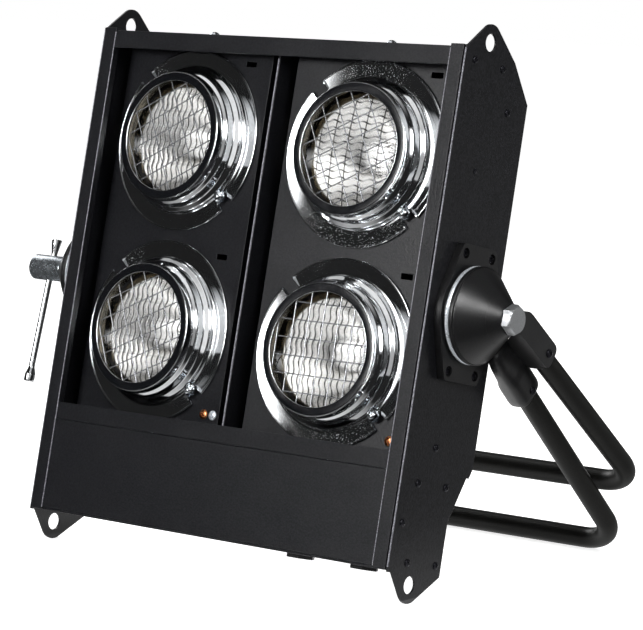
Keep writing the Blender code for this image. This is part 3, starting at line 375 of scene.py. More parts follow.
def seen_in(obj, place):
    """A piece's points in mm, as a frame sees them."""
    points = np.empty(3 * len(obj.data.vertices))
    obj.data.vertices.foreach_get("co", points)
    back = np.array(place.inverted())
    return (points.reshape(-1, 3) / MM) @ back[:3, :3].T + back[:3, 3]


def write_attribute(mesh, name, values):
    """Stores a number, or a vector of three, for each point of a mesh, where a material can read it."""
    kind, part = ("FLOAT", "value") if values.ndim == 1 else ("FLOAT_VECTOR", "vector")
    stored = mesh.attributes.new(name, kind, "POINT")
    stored.data.foreach_set(part, values.astype(np.float32).ravel())


print("CAD nodes to stand for:", len(frame["nodes"]))

# %% [markdown]
# ## Finishes
# Every finish is worked out in space from noise whose size is given in millimetres, so nothing has to
# be unwrapped and the grain stays with its piece. A finish is two colours that mix in the grain, a
# roughness that wanders slowly, and a bump where the surface isn't flat.

# %% Nodes


def linear(code):
    """An sRGB hex colour as the linear light that the shaders work in, with nothing see-through."""
    values = [int(code[i : i + 2], 16) / 255 for i in (1, 3, 5)]
    return (*(v / 12.92 if v <= 0.04045 else ((v + 0.055) / 1.055) ** 2.4 for v in values), 1)


def connect(tree, node, inputs):
    """Gives inputs of a node a value each, or a link from another node's output."""
    for key, value in inputs.items():
        if isinstance(value, bpy.types.NodeSocket):
            tree.links.new(value, node.inputs[key])
        else:
            node.inputs[key].default_value = value


def add(tree, kind, *values, out=0, **named):
    """Adds a node and gives back one of its outputs, or the node itself where out is None.

    Values fill its inputs in order. A name in small letters is a setting of the node, a number after an
    underscore is the input of that number, and any other name is the input that is called so.
    """
    node = tree.nodes.new("ShaderNode" + kind)
    inputs = dict(enumerate(values))
    for name, value in named.items():
        if name.islower():
            setattr(node, name, value)
        elif name[0] == "_":
            inputs[int(name[1:])] = value
        else:
            inputs[name.replace("_", " ")] = value
    connect(tree, node, inputs)
    return node if out is None else node.outputs[out]


def new_material(name):
    """A new material, its node tree and its shader."""
    material = bpy.data.materials.new(name)
    material.use_nodes = True
    return material, material.node_tree, material.node_tree.nodes["Principled BSDF"]


print("mid grey as light:", round(linear("#808080")[0], 3))

# %% [markdown]
# Noise comes out between 0 and 1, but nearly all of it lies between 0.35 and 0.65. Stretching that part
# over the whole range lets two colours, or two roughnesses, be named and both be seen.

# %% Coats
# Where nearly all of the noise lies
MOST = (0.35, 0.65)


def noise(tree, size, detail=2):
    """Noise whose features are about size mm across."""
    place = add(tree, "TexCoord", out="Object")
    return add(tree, "TexNoise", Vector=place, Scale=1 / (size * MM), Detail=detail)


def coat(name, colours, grain, rough, metallic=0.0, bump=0.0, wander=25, **more):
    """A finish with two colours in its grain, a wandering roughness and a fine bump.

    In mm are the size of the grain, the height of the bump and wander, the distance over which the
    roughness changes.
    """
    material, tree, shader = new_material(name)
    fine = noise(tree, grain)
    share = add(tree, "MapRange", fine, *MOST, 0, 1)
    first, second = (linear(code) for code in colours)
    inputs = {
        "Base Color": add(tree, "Mix", share, _6=first, _7=second, out=2, data_type="RGBA"),
        "Roughness": add(tree, "MapRange", noise(tree, wander, 3), *MOST, *rough),
        "Metallic": metallic,
    }
    if bump:
        inputs["Normal"] = add(tree, "Bump", Height=fine, Distance=bump * MM, Strength=1.0)
    connect(tree, shader, inputs | {key.replace("_", " "): value for key, value in more.items()})
    return material


print("noise is stretched from", MOST)

# %% [markdown]
# ## Paints
# The sheets are steel with a baked powder coat. The castings are aluminium and the tubes steel, both
# sprayed, and the guard rings are enamelled. The peel of a powder coat is about 1 mm across and the
# grain of the others under half of that. All are drawn coarser than they are, so that they show from
# here.

# %% Paints
# Powder coat, black: orange peel breaks its gloss into a soft satin with faint paler specks
powder = coat("black_powder_coat", ("#090a0c", "#1a1a1d"), 1.7, (0.29, 0.33), bump=0.12,
              Specular_IOR_Level=0.36)
# Cast aluminium, sprayed black: smoother, so that a cone shows one long bright streak
casting = coat("black_casting", ("#0d0d0e", "#151516"), 1.6, (0.32, 0.38), bump=0.05,
               Specular_IOR_Level=0.6)
# Steel tube, matt black paint: almost no streak, only a slightly warmer grey along its top
tube_paint = coat("black_tube_paint", ("#121211", "#1a1a18"), 1.2, (0.36, 0.44), bump=0.02,
                  Specular_IOR_Level=0.16)
# Stove enamel on pressed steel: glossy, and darker than the sheets because it mirrors a dark room
ring_paint = coat("black_ring_paint", ("#08090b", "#101114"), 0.8, (0.14, 0.22), bump=0.02)
# Painted highlight: a satin grey line along a fold, standing for the light that a rounded edge catches
painted_edge_highlight = coat("painted_edge_highlight", ("#55555a", "#8a8a92"), 1.5, (0.28, 0.4), wander=9)
print("paints:", [paint.name for paint in (powder, casting, tube_paint, ring_paint, painted_edge_highlight)])

# %% [markdown]
# ## Plated metal
# The trims are pressed steel with a bright chrome plate. What turns, clamps or screws is steel with a
# zinc plate, which is duller. Its crystals are only a few hundredths of a millimetre wide, so the grain
# that is drawn is the coarser one of its cloudy patches, 0.5 to 1.3 mm. Some of the zinc is drawn less
# than fully metallic, which stands for the film of oil and dust on it.

# %% Plated metal
# Chrome plate, polished: a mirror whose look is the room's, with patches of 3 mm hardly apart in tone
chrome = coat("chrome", ("#e6e8ea", "#eef0f2"), 3, (0.05, 0.09), 1.0, wander=14)
# Zinc plate on bright drawn bar: soft, fairly clear reflections
zinc = coat("zinc_plate", ("#c8cacc", "#dcdee0"), 0.6, (0.16, 0.24), 1.0, bump=0.003, wander=8)
# Zinc-plated wire: a grey line with a bright edge
wire_zinc = coat("wire_zinc", ("#a2a4a8", "#c2c4c8"), 0.8, (0.14, 0.22), 0.8, wander=6)
# Zinc over turning marks: the hub glitters in patches
turned_zinc = coat("turned_zinc", ("#989ea4", "#c4cad0"), 0.9, (0.2, 0.32), 0.9, bump=0.03, wander=5)
# Zinc on cold-headed screws: bright and uneven, with broken highlights
screw_zinc = coat("screw_zinc", ("#c6ccd2", "#f0f4f8"), 1.3, (0.12, 0.2), 1.0, bump=0.12, wander=4)
# Blue-white zinc on the bearing ring: pale, even from every side
bright_zinc = coat("bright_zinc", ("#c6ccd2", "#e4e9ee"), 0.6, (0.25, 0.4), 0.6, bump=0.01, wander=5)
# Zinc on a machined bolt: a flat, duller grey
bolt_zinc = coat("bolt_zinc", ("#9ea0a2", "#b8babc"), 0.5, (0.3, 0.42), 0.8, bump=0.008, wander=4)
# Black zinc plate: dark heads with a faint metal sheen
dark_zinc = coat("black_zinc_plate", ("#1c1c20", "#3a3a40"), 0.5, (0.24, 0.34), 0.7, wander=6)
# Copper plate: the one warm spot
copper = coat("copper_plate", ("#a8653f", "#c98a5e"), 0.5, (0.25, 0.4), 1.0, wander=4)
plated = (chrome, zinc, wire_zinc, turned_zinc, screw_zinc, bright_zinc, bolt_zinc, dark_zinc, copper)
print("plated:", [metal.name for metal in plated])

# %% [markdown]
# ## Mirror, plastic and ceramic
# The bowl of a sealed beam lamp is glass with aluminium laid on it in a vacuum. The glands are moulded
# polyamide, and the terminal block is fired steatite. The grain of those two is under 0.2 mm, and it is
# drawn at about half a millimetre, so that it shows.

# %% Mirror, plastic and ceramic
# Vacuum-coated aluminium: the brightest thing here, hazy because the layer follows the moulded glass
silver = coat("reflector_silver", ("#fbfaf8", "#ffffff"), 4, (0.16, 0.26), 1.0, bump=0.01, wander=18)
# Moulded polyamide: matt black without a streak
plastic = coat("black_plastic", ("#131315", "#1c1c1e"), 0.5, (0.38, 0.5), bump=0.02)
# Fired steatite: off-white and dull
ceramic = coat("white_ceramic", ("#d8d4c8", "#e6e2d6"), 0.4, (0.35, 0.5), bump=0.01)
print("others:", [other.name for other in (silver, plastic, ceramic)])

# %% [markdown]
# ## Fluted glass
# The lens is pressed borosilicate glass, smooth outside and fluted inside. The real flutes are steeper
# than these, and each valley looks dark, because it bends the light away. Here that dark is painted
# shade: a line drawn in the glass, on the same wavy plan as the flutes. Light passes the lens on its way
# in and on its way out, and the tint is left off on its way in, or each line would be there twice. The
# index is 1.25 and not the 1.47 of the real glass, so that the bowl shows through the flutes as evenly
# as in the photograph. Near the rim the bowl ends, and on one side a brown crescent of painted shade
# stands for the dark inside of the trim, seen past the guard ring.

# %% Fluted glass
RIB, BAND, WAVE = 6.4, 16.5, 1.0
# Half widths of the lines of painted shade: a valley's as a share of a rib, and a band seam's as a share
# of a band
LINE, SEAM = 0.2, 0.07
# In patches of so many mm the lines are made weaker or stronger by this much, and full is the most
LINE_STRENGTH, LINE_PATCH = (0.9, 1.7), 5
# From its own centre, where the brown crescent of painted shade at the rim begins and where it is full, in
# mm
CRESCENT = (49.0, 51.5)
GLASS_INDEX, GLASS_ROUGHNESS = 1.25, 0.03


def near_whole(tree, value, width):
    """One where the value is a whole number, falling smoothly to zero at width either side."""
    away = add(tree, "Math", value, 0.5, operation="PINGPONG")
    return add(tree, "MapRange", away, 0.0, width, 1.0, 0.0, interpolation_type="SMOOTHSTEP")


def ribbed_glass(name, ribs, bands):
    """Clear glass with a line of painted shade in each valley of its flutes.

    A rib's line is where (x + WAVE sin(2 pi y / BAND)) / RIB is whole, and a band's where y / BAND + 1/2
    is. ribs says how dark a rib's line is in the middle of a band and at its ends, and bands how dark
    the line between two bands is.
    """
    material, tree, shader = new_material(name)
    plane = add(tree, "Attribute", attribute_name="lens_plane", out="Vector")
    x, y, from_centre = add(tree, "SeparateXYZ", plane, out=None).outputs
    phase = add(tree, "Math", y, math.tau / BAND, operation="MULTIPLY")
    wave = add(tree, "Math", phase, operation="SINE")
    shifted = add(tree, "Math", wave, WAVE, x, operation="MULTIPLY_ADD")
    lines = near_whole(tree, add(tree, "Math", shifted, RIB, operation="DIVIDE"), LINE)
    steps = add(tree, "Math", y, 1 / BAND, 0.5, operation="MULTIPLY_ADD")
    fade = add(tree, "MapRange", near_whole(tree, steps, 0.5), 0, 1, *ribs)
    rib_valley_shade = add(tree, "Math", lines, fade, operation="MULTIPLY")
    band_seam_shade = add(tree, "Math", near_whole(tree, steps, SEAM), bands, operation="MULTIPLY")
    lines = add(tree, "Math", rib_valley_shade, band_seam_shade, operation="MAXIMUM")
    strength = add(tree, "MapRange", noise(tree, LINE_PATCH), *MOST, *LINE_STRENGTH)
    lines = add(tree, "Math", lines, strength, operation="MULTIPLY", use_clamp=True)
    # The lines are painted shade: they darken the glass's tint where the flutes bend the light away
    tint = add(tree, "Mix", lines, _6=(1, 1, 1, 1), _7=linear("#040403"), out=2, data_type="RGBA")
    # The brown crescent near the rim is painted shade, standing for the dark inside of the trim
    shade = add(tree, "MapRange", from_centre, *CRESCENT, interpolation_type="SMOOTHSTEP")
    tint = add(tree, "Mix", shade, _6=tint, _7=linear("#40392b"), out=2, data_type="RGBA")
    light = add(tree, "LightPath", out=None).outputs
    inward = add(tree, "Math", light["Is Glossy Ray"], light["Is Transmission Ray"],
                 operation="SUBTRACT", use_clamp=True)
    tint = add(tree, "Mix", inward, _6=tint, _7=(1, 1, 1, 1), out=2, data_type="RGBA")
    connect(tree, shader, {"Base Color": tint, "Roughness": GLASS_ROUGHNESS,
                           "Transmission Weight": 1.0, "IOR": GLASS_INDEX})
    return material


lens_glass = ribbed_glass("lamp_glass", (0.95, 1.0), 0.22)
turned_glass = ribbed_glass("lamp_glass_turned", (0.4, 1.0), 1.0)
print("flutes: ribs of", RIB, "mm in bands of", BAND, "mm")

# %% [markdown]
# ## Pits in the chrome
# Where damp got under the plating it has lifted in pale, dull specks. A speck is the top of a noise about
# as wide as the real pits, 1 mm, and the pitting attribute says where on a trim there are any. There
# the chrome is lighter and no longer a metal.

# %% Pits in the chrome
# The pits' width in mm, and the part of the noise that is their edge
PIT, PIT_EDGE = 1.0, (0.68, 0.73)
tree = chrome.node_tree
shader = tree.nodes["Principled BSDF"]
clean = shader.inputs["Base Color"].links[0].from_socket
specks = add(tree, "MapRange", noise(tree, PIT, 1), *PIT_EDGE, 0, 1)
specks = add(tree, "Math", specks, add(tree, "Attribute", attribute_name="pitting", out="Fac"),
             operation="MULTIPLY")
speckled = add(tree, "Mix", specks, _6=clean, _7=linear("#e4e8ec"), out=2, data_type="RGBA")
metal = add(tree, "Math", 1.0, specks, operation="SUBTRACT")
connect(tree, shader, {"Base Color": speckled, "Metallic": metal})
print("chrome has", len(tree.nodes), "nodes")

# %% [markdown]
# ## Sheet metal
# The housing's folded sheets already have the right shape in the CAD, down to their slots, so they
# are copied, welded and given a fold radius. A spun or cut outline would gain nothing here.

# %% Housing sheets
HOUSING_SHEETS = ["frame_left", "frame_right", "top_panel", "shelf", "bottom_panel", "lower_cover"]
for node in [*HOUSING_SHEETS, "rear_cover"]:
    carry_over(node, powder, 0.5)
for node in ("centre_divider", "tray_left", "tray_right"):
    carry_over(node, powder, 0.4)
carry_over("terminal_block", ceramic, 0.6)

# %% [markdown]
# ## Painted edge highlights
# A satin grey is painted along the rims of the folded flanges, the side plates' front edges and the
# divider's, as a painted highlight where the folds catch the light. Each is a thin rod laid along its
# edge, like a hem.

# %% Painted edge highlights


def hem(name, across, deep, low, high, radius):
    """A thin rod of painted highlight along an upright edge of the housing."""
    z = np.linspace(low, high, 12)
    line = np.stack([across + 0 * z, deep + 0 * z, z], -1)
    make(name, tube(line, radius, 12), HOUSING, painted_edge_highlight, "housing")


for word, side in SIDES.items():
    hem(f"flange_highlight_{word}", side * 196.2, 0.35, 2, 460, 0.55)
    hem(f"plate_edge_highlight_{word}", side * 211.3, 1.9, 3, 461, 0.8)
hem("divider_highlight", -0.2, 9.2, 88.5, 443.5, 0.8)

# %% [markdown]
# ## Side plates
# Each is a flat blank with an ear at both ends. The ears are arcs joined by tangents: from a point at
# distance d from a circle's centre, the tangent touches it acos(r / d) away from the line between them.

# %% Side plates
EAR, EAR_HOLE = 16.5, 8.0
FOOT, CREST = (37, -11), (37, 472)
PLATE_IN, PLATE_OUT = 210.3, 212.3


def tangent(centre, radius, point, turn):
    """The angle, in degrees, where a line from a point touches a circle, on the side that turn says."""
    across, up = point[0] - centre[0], point[1] - centre[1]
    return math.degrees(math.atan2(up, across) + turn * math.acos(radius / math.hypot(across, up)))


foot_start = tangent(FOOT, EAR, (7.9, -1.4), 1) % 360
foot_end = tangent(FOOT, EAR, (81, -1.4), -1) % 360
crest_start = tangent(CREST, EAR, (79, 462), 1) % 360
crest_end = tangent(CREST, EAR, (3.6, 464), -1) % 360
side_outline = np.concatenate(
    [
        [(2, -1.4), (7.9, -1.4)],
        arc(FOOT, EAR, foot_start, foot_end, 28),
        [(81, -1.4), (81, 89), (103.8, 89), (108, 98), (108, 429), (79, 462)],
        arc(CREST, EAR, crest_start, crest_end, 28),
        [(3.6, 464), (2, 464)],
    ]
)
ear_holes = [circle(FOOT, EAR_HOLE), circle(CREST, EAR_HOLE)]
blank = plate(side_outline, PLATE_IN, PLATE_OUT, ear_holes, axis=0)
for word, side in SIDES.items():
    node = f"side_plate_{word}"
    make(f"{node}_shown", mirrored(blank, side), HOUSING, powder, "housing",
         [node], 0.45)

# %% [markdown]
# ## Screws
# One head profile, spun, serves all the small screws. A cross recess is pressed into the head, so the
# height of its dome dips there: height = dome(r) - depth x cross(r, angle), and a hexagon socket is
# sunk the same way. The dome is height x sqrt(1 - 0.82 (r / radius)^2).

# %% Screw heads
# Shares of a head's radius: half the width of the cross's arms, their reach, half the socket's flats
ARM_HALF, ARM_REACH, SOCKET_HALF = 0.13, 0.62, 0.5
# The dome's fall, as in its formula, and the height of the lower wall as a share of the head's
FALL, WALL = 0.82, 0.35


def screw_head(radius, height, recess=0.0, socket=0.0, rows=26, cols=72):
    """A domed head about +Z, with a cross recess or a hexagon socket of the depth that is given."""
    r = np.concatenate([np.linspace(0, radius, rows), [radius, radius]])[:, None]
    a = (np.arange(cols) * math.tau / cols)[None]
    dome = height * np.sqrt(np.clip(1 - (r / radius) ** 2 * FALL, 0, 1))
    x, y = r * np.cos(a), r * np.sin(a)
    arms = np.minimum(abs(x), abs(y)) < radius * ARM_HALF
    cross = arms & (r < radius * ARM_REACH)
    hexagon = r < radius * SOCKET_HALF / np.cos((a + math.pi / 6) % (math.pi / 3) - math.pi / 6)
    z = dome - recess * cross - socket * hexagon
    z[-2:] = [[height * WALL], [0]]
    return surface(np.stack([x + 0 * z, y + 0 * z, z], -1), close_cols=True)


def facing(place, direction, up=(0, 0, 1)):
    """A frame at a point whose Z looks along a direction."""
    z = Vector(direction).normalized()
    x = Vector(up).cross(z)
    x = Vector((1, 0, 0)) if x.length < 1e-6 else x.normalized()
    return Matrix.Translation(place) @ Matrix((x, z.cross(x), z)).transposed().to_4x4()


print("points in a head:", len(screw_head(3.4, 2.0)[0][0]))

# %% [markdown]
# ## Side plate screws
# Nine cross-head screws and a flat rivet hold each side plate. Their places are read from the
# photograph, and each cross is turned by an angle of its own, as a fitter leaves them.

# %% Side plate screws
PLATE_SCREWS = [(17, 453), (61, 453), (78, 416.5), (46, 111.4), (27.6, 78.4), (70.3, 78), (12.6, 42.5)]
PLATE_SCREWS += [(28.9, 8.3), (72.3, 8.4)]
RIVET, PLATE_SEAT = (42, 357.7), 212.2
for word, side in SIDES.items():
    heads = []
    for y, z in PLATE_SCREWS:
        turned = facing((side * PLATE_SEAT, y, z), (side, 0, 0)) @ Matrix.Rotation(y + z, 4, "Z")
        heads += moved(screw_head(3.4, 2.0, recess=0.9), turned)
    heads += moved(screw_head(2.6, 0.9), facing((side * PLATE_SEAT, *RIVET), (side, 0, 0)))
    make(f"plate_screws_{word}", heads, HOUSING, dark_zinc, "housing")

# %% [markdown]
# ## Trims
# The chrome trim is a stepped ring pressed from sheet. Its steps have round corners, because it is the
# corners that gather the long bright and dark lines of the room. The flange stops short at two
# notches, where a tab is bent up at each end, so it is spun in two part turns, and the steps in a
# whole one.

# %% Trim profiles
FLANGE = 86.0
# Where round a lamp the notches are, in degrees
NOTCHES = (-43, 137)
TAB_HALF = 0.4
flange_profile = rounded(
    [
        (69.0, 0.3, 0),
        (FLANGE, 0.3, 0.4),
        (FLANGE, 2.9, 0.8),
        (FLANGE - 1.5, 2.9, 0.7),
        (FLANGE - 1.9, 2.3, 0.3),
        (69.0, 1.0, 0),
    ],
    6,
)
tower_profile = rounded(
    [
        (73.0, 0.3, 0),
        (73.0, 1.3, 0.3),
        (69.9, 1.5, 2.6),
        (69.4, 6.6, 3.2),
        (64.6, 10.0, 2.8),
        (64.0, 17.9, 3.4),
        (60.8, 21.0, 2.4),
        (60.3, 28.2, 0.3),
        (59.7, 28.2, 0.2),
        (59.7, 24.0, 0),
        (55.95, 24.0, 0.4),
        (55.95, 14.3, 0),
        (57.7, 14.3, 0),
        (57.7, 8.3, 0),
        (58.9, 8.3, 0),
        (58.9, 18.3, 0),
        (62.4, 17.2, 0),
        (62.6, 8.6, 0),
        (68.3, 5.7, 0),
        (68.3, 0.3, 0),
    ],
    7,
)
NOTCH_HALF, NOTCH_AT, TAB_IN = 6.5, 80, 0.5
half_notch = math.degrees(math.asin(NOTCH_HALF / NOTCH_AT))
tab_outline = [(75, 0.5), (85.4, 0.5), (85.4, 4.6), (83, 5.0), (77, 3.4), (75, 1.2)]
tab = [(points[:, [0, 2, 1]], faces) for points, faces in plate(tab_outline, -TAB_HALF, TAB_HALF)]
trim = revolve(tower_profile, 192)
for start, end in (NOTCHES, (NOTCHES[1], NOTCHES[0] + 360)):
    trim += sector(flange_profile, start + half_notch, end - half_notch, 120)
    for at in (start + half_notch + TAB_IN, end - half_notch - TAB_IN):
        trim += moved(tab, Matrix.Rotation(math.radians(at), 4, "Z"))
print("trim: half a notch is", round(half_notch, 1), "degrees, profile points:", len(tower_profile))

# %% [markdown]
# The flanges of old trims are pitted in places, and the photograph shows where: ranges of angle, in
# degrees round each lamp, that fade in and out over 8 degrees. The steps themselves are clean.

# %% Trims
PITTING = {
    "top_right": [(60, 125), (215, 315)],
    "bottom_right": [(255, 310)],
    "top_left": [(118, 135)],
    "bottom_left": [(112, 135)],
}
PIT_FADE, CLEAN_INSIDE = 8, 68.9
for name, place in LAMPS.items():
    shown = make(f"trim_{name}", trim, place, chrome, TRAY_OF[name], [f"trim_ring_{name}"],
                 smooth=50)
    x, y, _ = seen_in(shown, place).T
    angle = np.degrees(np.arctan2(y, x)) % 360
    depth = np.max([np.minimum(angle - start, end - angle) for start, end in PITTING[name]], 0)
    pitted = np.clip(depth / PIT_FADE, 0, 1) * (np.hypot(x, y) > CLEAN_INSIDE)
    write_attribute(shown.data, "pitting", pitted)

# %% [markdown]
# ## Guards
# The guard ring is a flat black washer with bright hems, and the guard is wire: two layers of straight
# wires, one behind the other, welded where they cross and to a ring. Modelled as real wires, they cast
# their own shadows and reflections on the lens.

# %% Guards
GUARD_PROFILE = rounded([(52.3, 26, 0.6), (59.5, 26, 0.3), (59.5, 28.8, 0.7), (52.3, 28.8, 0.7)], 4)
WIRE, PITCH, WIRE_RING, BACK_LAYER, FRONT_LAYER = 0.55, 16.2, 55.6, 24.4, 25.5
TURNS = {"top_left": 28, "bottom_left": 25, "top_right": 27, "bottom_right": 0}
wires = torus(WIRE_RING, 24.9, 0.8)
for i in range(-3, 4):
    for lengthwise, offset in ((False, i * PITCH), (True, (i + 0.5) * PITCH)):
        if abs(offset) < WIRE_RING:
            half = math.sqrt(WIRE_RING**2 - offset**2)
            if lengthwise:
                wires += tube([(along, offset, BACK_LAYER) for along in (-half, 0, half)], WIRE, 10)
            else:
                wires += tube([(offset, along, FRONT_LAYER) for along in (-half, 0, half)], WIRE, 10)
for name, place in LAMPS.items():
    body = TRAY_OF[name]
    make(f"guard_{name}", revolve(GUARD_PROFILE, 128), place, ring_paint, body,
         [f"guard_ring_{name}"], smooth=50)
    hems = torus(52.4, 28.3, 0.35) + torus(59.6, 28.3, 0.3)
    make(f"guard_hem_{name}", hems, place, chrome, body)
    turned = placed(place, axis="Z", degrees=TURNS[name])
    make(f"mesh_{name}", wires, turned, wire_zinc, body, [f"guard_mesh_{name}"])

# %% [markdown]
# ## Lenses
# A sealed beam lamp is a glass lens fused to a silvered glass bowl. The lens is smooth outside and
# fluted inside: cells 6.4 mm wide in bands 16.5 mm high, each a small cylinder lens, height =
# A x 4t(1 - t) across the cell. The flutes bend what the bowl mirrors, which makes the ribbed light
# and dark pattern. A disc without a pole in the middle shades evenly, so it is a bent square.

# %% Lens surface
LENS, LAMP, SEAT, CROWN, GLASS, RIM_BACK = 54.9, 57.15, 14.0, 6.5, 3.0, 9.5
RIB_DEPTH, BAND_DEPTH = 0.5, 0.35


def disc(cells):
    """A square grid bent to a disc: x = u sqrt(1 - v^2 / 2), y = v sqrt(1 - u^2 / 2)."""
    u, v = np.meshgrid(np.linspace(-1, 1, cells), np.linspace(-1, 1, cells), indexing="ij")
    return LENS * u * np.sqrt(1 - v**2 / 2), LENS * v * np.sqrt(1 - u**2 / 2)


def outer_face(x, y):
    """A shallow dome: seat + crown x (1 - (x^2 + y^2) / lens^2)."""
    return SEAT + CROWN * (1 - (x**2 + y**2) / LENS**2)


def flutes(x, y):
    """Depth of the flutes: across the ribs plus along the bands, with ribs that waver with the bands."""
    across = ((x + WAVE * np.sin(math.tau * y / BAND)) / RIB) % 1
    along = (y / BAND + 0.5) % 1
    return RIB_DEPTH * 4 * across * (1 - across) + BAND_DEPTH * 4 * along * (1 - along)


def border(grid):
    """The outer loop of a square grid of points, in order."""
    return np.concatenate([grid[:-1, 0], grid[-1, :-1], grid[:0:-1, -1], grid[0, :0:-1]])


x, y = disc(150)
face = np.stack([x, y, outer_face(x, y)], -1)
edge = np.clip((LENS - np.hypot(x, y)) / 3, 0, 1)
inside = np.stack([x, y, outer_face(x, y) - GLASS + flutes(x, y) * edge], -1)
rim = border(face)
wide = LAMP / LENS
rim_rows = [rim, rim * (wide, wide, 1), rim * (wide, wide, 0) + (0, 0, RIM_BACK)]
rim_rows += [rim * (1, 1, 0) + (0, 0, RIM_BACK), border(inside)]
lens = surface(face) + surface(inside) + surface(np.stack(rim_rows), close_cols=True)
print("lens faces:", sum(len(faces) for _, faces in lens))

# %% [markdown]
# ## Reflectors
# The bowl is a parabola, radius^2 = r^2 + (R^2 - r^2) x (1 - depth share), from the rim R down to the
# small opening r behind the filament. It is a shell of 1.6 mm, closed at the back.

# %% Reflector profile
MOUTH, NECK, BOWL_FRONT, BOWL_DEEP, SHELL = 53.4, 12, 9.2, 51.7, 1.6
depth = np.linspace(0, 1, 40)
bowl_radius = np.sqrt(NECK**2 + (MOUTH**2 - NECK**2) * (1 - depth))
bowl = np.stack([bowl_radius, BOWL_FRONT - BOWL_DEEP * depth], -1)
shell = np.stack([bowl_radius + SHELL, BOWL_FRONT - (BOWL_DEEP + 0.7) * depth], -1)[::-1]
reflector = revolve(np.concatenate([bowl, [(0.01, -42.5), (0.01, -44.0)], shell]), 120)
print("bowl depth, mm:", BOWL_DEEP)

# %% [markdown]
# ## Lamps
# A lens carries its own plan for the lines of painted shade: x and y as the flutes see them, and in
# place of z the distance from a point beside the middle, which puts the rim's brown crescent of painted
# shade on one side. On the outer face x is half a rib, where there is no line. The lamp at the top right
# is turned by a quarter.

# %% Lamps
QUARTER_TURNED = "top_right"
CRESCENT_CENTRE = (4.5, -2.5)
for name, place in LAMPS.items():
    quarter, glass = (90, turned_glass) if name == QUARTER_TURNED else (0, lens_glass)
    turned = placed(place, axis="Z", degrees=quarter)
    shown = make(f"lens_{name}", lens, turned, glass, TRAY_OF[name], smooth=180)
    plan = seen_in(shown, turned)
    outer = plan[:, 2] > outer_face(plan[:, 0], plan[:, 1]) - 0.5
    middle = np.array(Matrix.Rotation(math.radians(-quarter), 2) @ Vector(CRESCENT_CENTRE))
    plan[:, 2] = np.hypot(*(plan[:, :2] - middle).T)
    plan[outer, :2] = (RIB / 2, 0)
    write_attribute(shown.data, "lens_plane", plan)
    make(f"reflector_{name}", reflector, place, silver, TRAY_OF[name], [f"lamp_{name}"])

# %% [markdown]
# ## Clamp screws and tray screws
# A domed screw in the lower notch squeezes the trim: its head stands on a collar, and its shank ends in
# a nut inside. In the tray's corner a copper-plated screw holds the lamp lead and a bright one the
# tray's earth.

# %% Clamp screws and tray screws
CLAMP_FRONT, TRAY_SCREW_HEIGHT = 6.0, 111
clamp = revolve(rounded([(0.01, 73.5, 0), (5.3, 73.5, 0.6), (5.3, 76.1, 0), (0.01, 76.1, 0)]), 36, axis=0)
clamp += revolve([(0.01, 69.8), (2.0, 69.8), (2.0, 73.6), (0.01, 73.6)], 24, axis=0)
clamp += plate(circle((0, 0), 3.6, 6), 69.9, 72.4, axis=0)
clamp = moved(clamp, Matrix.Translation((0, 0, CLAMP_FRONT)))
clamp = moved(screw_head(5.3, 4.6, recess=1.6), facing((76.0, 0, CLAMP_FRONT), (1, 0, 0.25))) + clamp
for name, place in LAMPS.items():
    radial = placed(place, axis="Z", degrees=NOTCHES[0])
    make(f"clamp_{name}", clamp, radial, screw_zinc, TRAY_OF[name], [f"clamp_screw_{name}"])

TRAY_SCREWS = [("lead", 71.8, copper, 4.6, None), ("earth", 83.0, bright_zinc, 4.4, "zinc_plate")]
for word in SIDES:
    for label, across, metal, size, slot in TRAY_SCREWS:
        spot = facing((across, TRAY_FACE, TRAY_SCREW_HEIGHT), (0, -1, 0))
        head = moved(screw_head(size, 1.8, recess=0.8), spot)
        make(f"tray_screw_{label}_{word}", head, TRAYS[word], metal, f"tray_{word}")

# %% [markdown]
# ## Tray pins
# Each tray turns on a screw above and one below. The upper heads are tall domes, as the photograph
# shows, and the lower ones, which it doesn't show, are flat.

# %% Tray pins
# End, seat, which way its head looks, the head's height and the shank's length
PIN_SEATS = [("top", 462.3, 1, 8.4, 8.95), ("bottom", 86.7, -1, 2.5, 10.7)]
for word, side in SIDES.items():
    for end, seat, up, height, length in PIN_SEATS:
        pin = screw_head(5.8, height, recess=1.1)
        pin += revolve([(0.01, 0.1), (3.0, 0.1), (3.0, -length), (0.01, -length)], 24)
        pin = moved(pin, facing((side * TRAY_ACROSS, TRAY_DEEP, seat), (0, 0, up), (0, 1, 0)))
        node = f"tray_pin_{end}_{word}"
        make(f"{node}_shown", pin, HOUSING, screw_zinc, "housing", [node])

# %% [markdown]
# ## Base plates
# A cast base plate on each side carries a bright bearing ring, the cone of the inner yoke turns on it,
# and the outer yoke's flat arm lies on the cone's tip under the bolt. They are spun or cut from the same
# outlines as in the CAD, with rounder corners.

# %% Base plates and bearing rings


def base_outline(half, corner, bulge):
    """A tall rectangle swelling to a round bulge: arcs that touch, mirrored twice."""
    x, y = half[0] - corner, half[1] - corner
    touch = math.degrees(math.atan2(y, x) - math.acos((bulge - corner) / math.hypot(x, y)))
    return np.concatenate(
        [
            arc((0, 0), bulge, -touch, touch, 30),
            arc((x, y), corner, touch, 90, 8),
            arc((-x, y), corner, 90, 180 - touch, 8),
            arc((0, 0), bulge, 180 - touch, 180 + touch, 30),
            arc((-x, -y), corner, 180 + touch, 270, 8),
            arc((x, -y), corner, 270, 360 - touch, 8),
        ]
    )


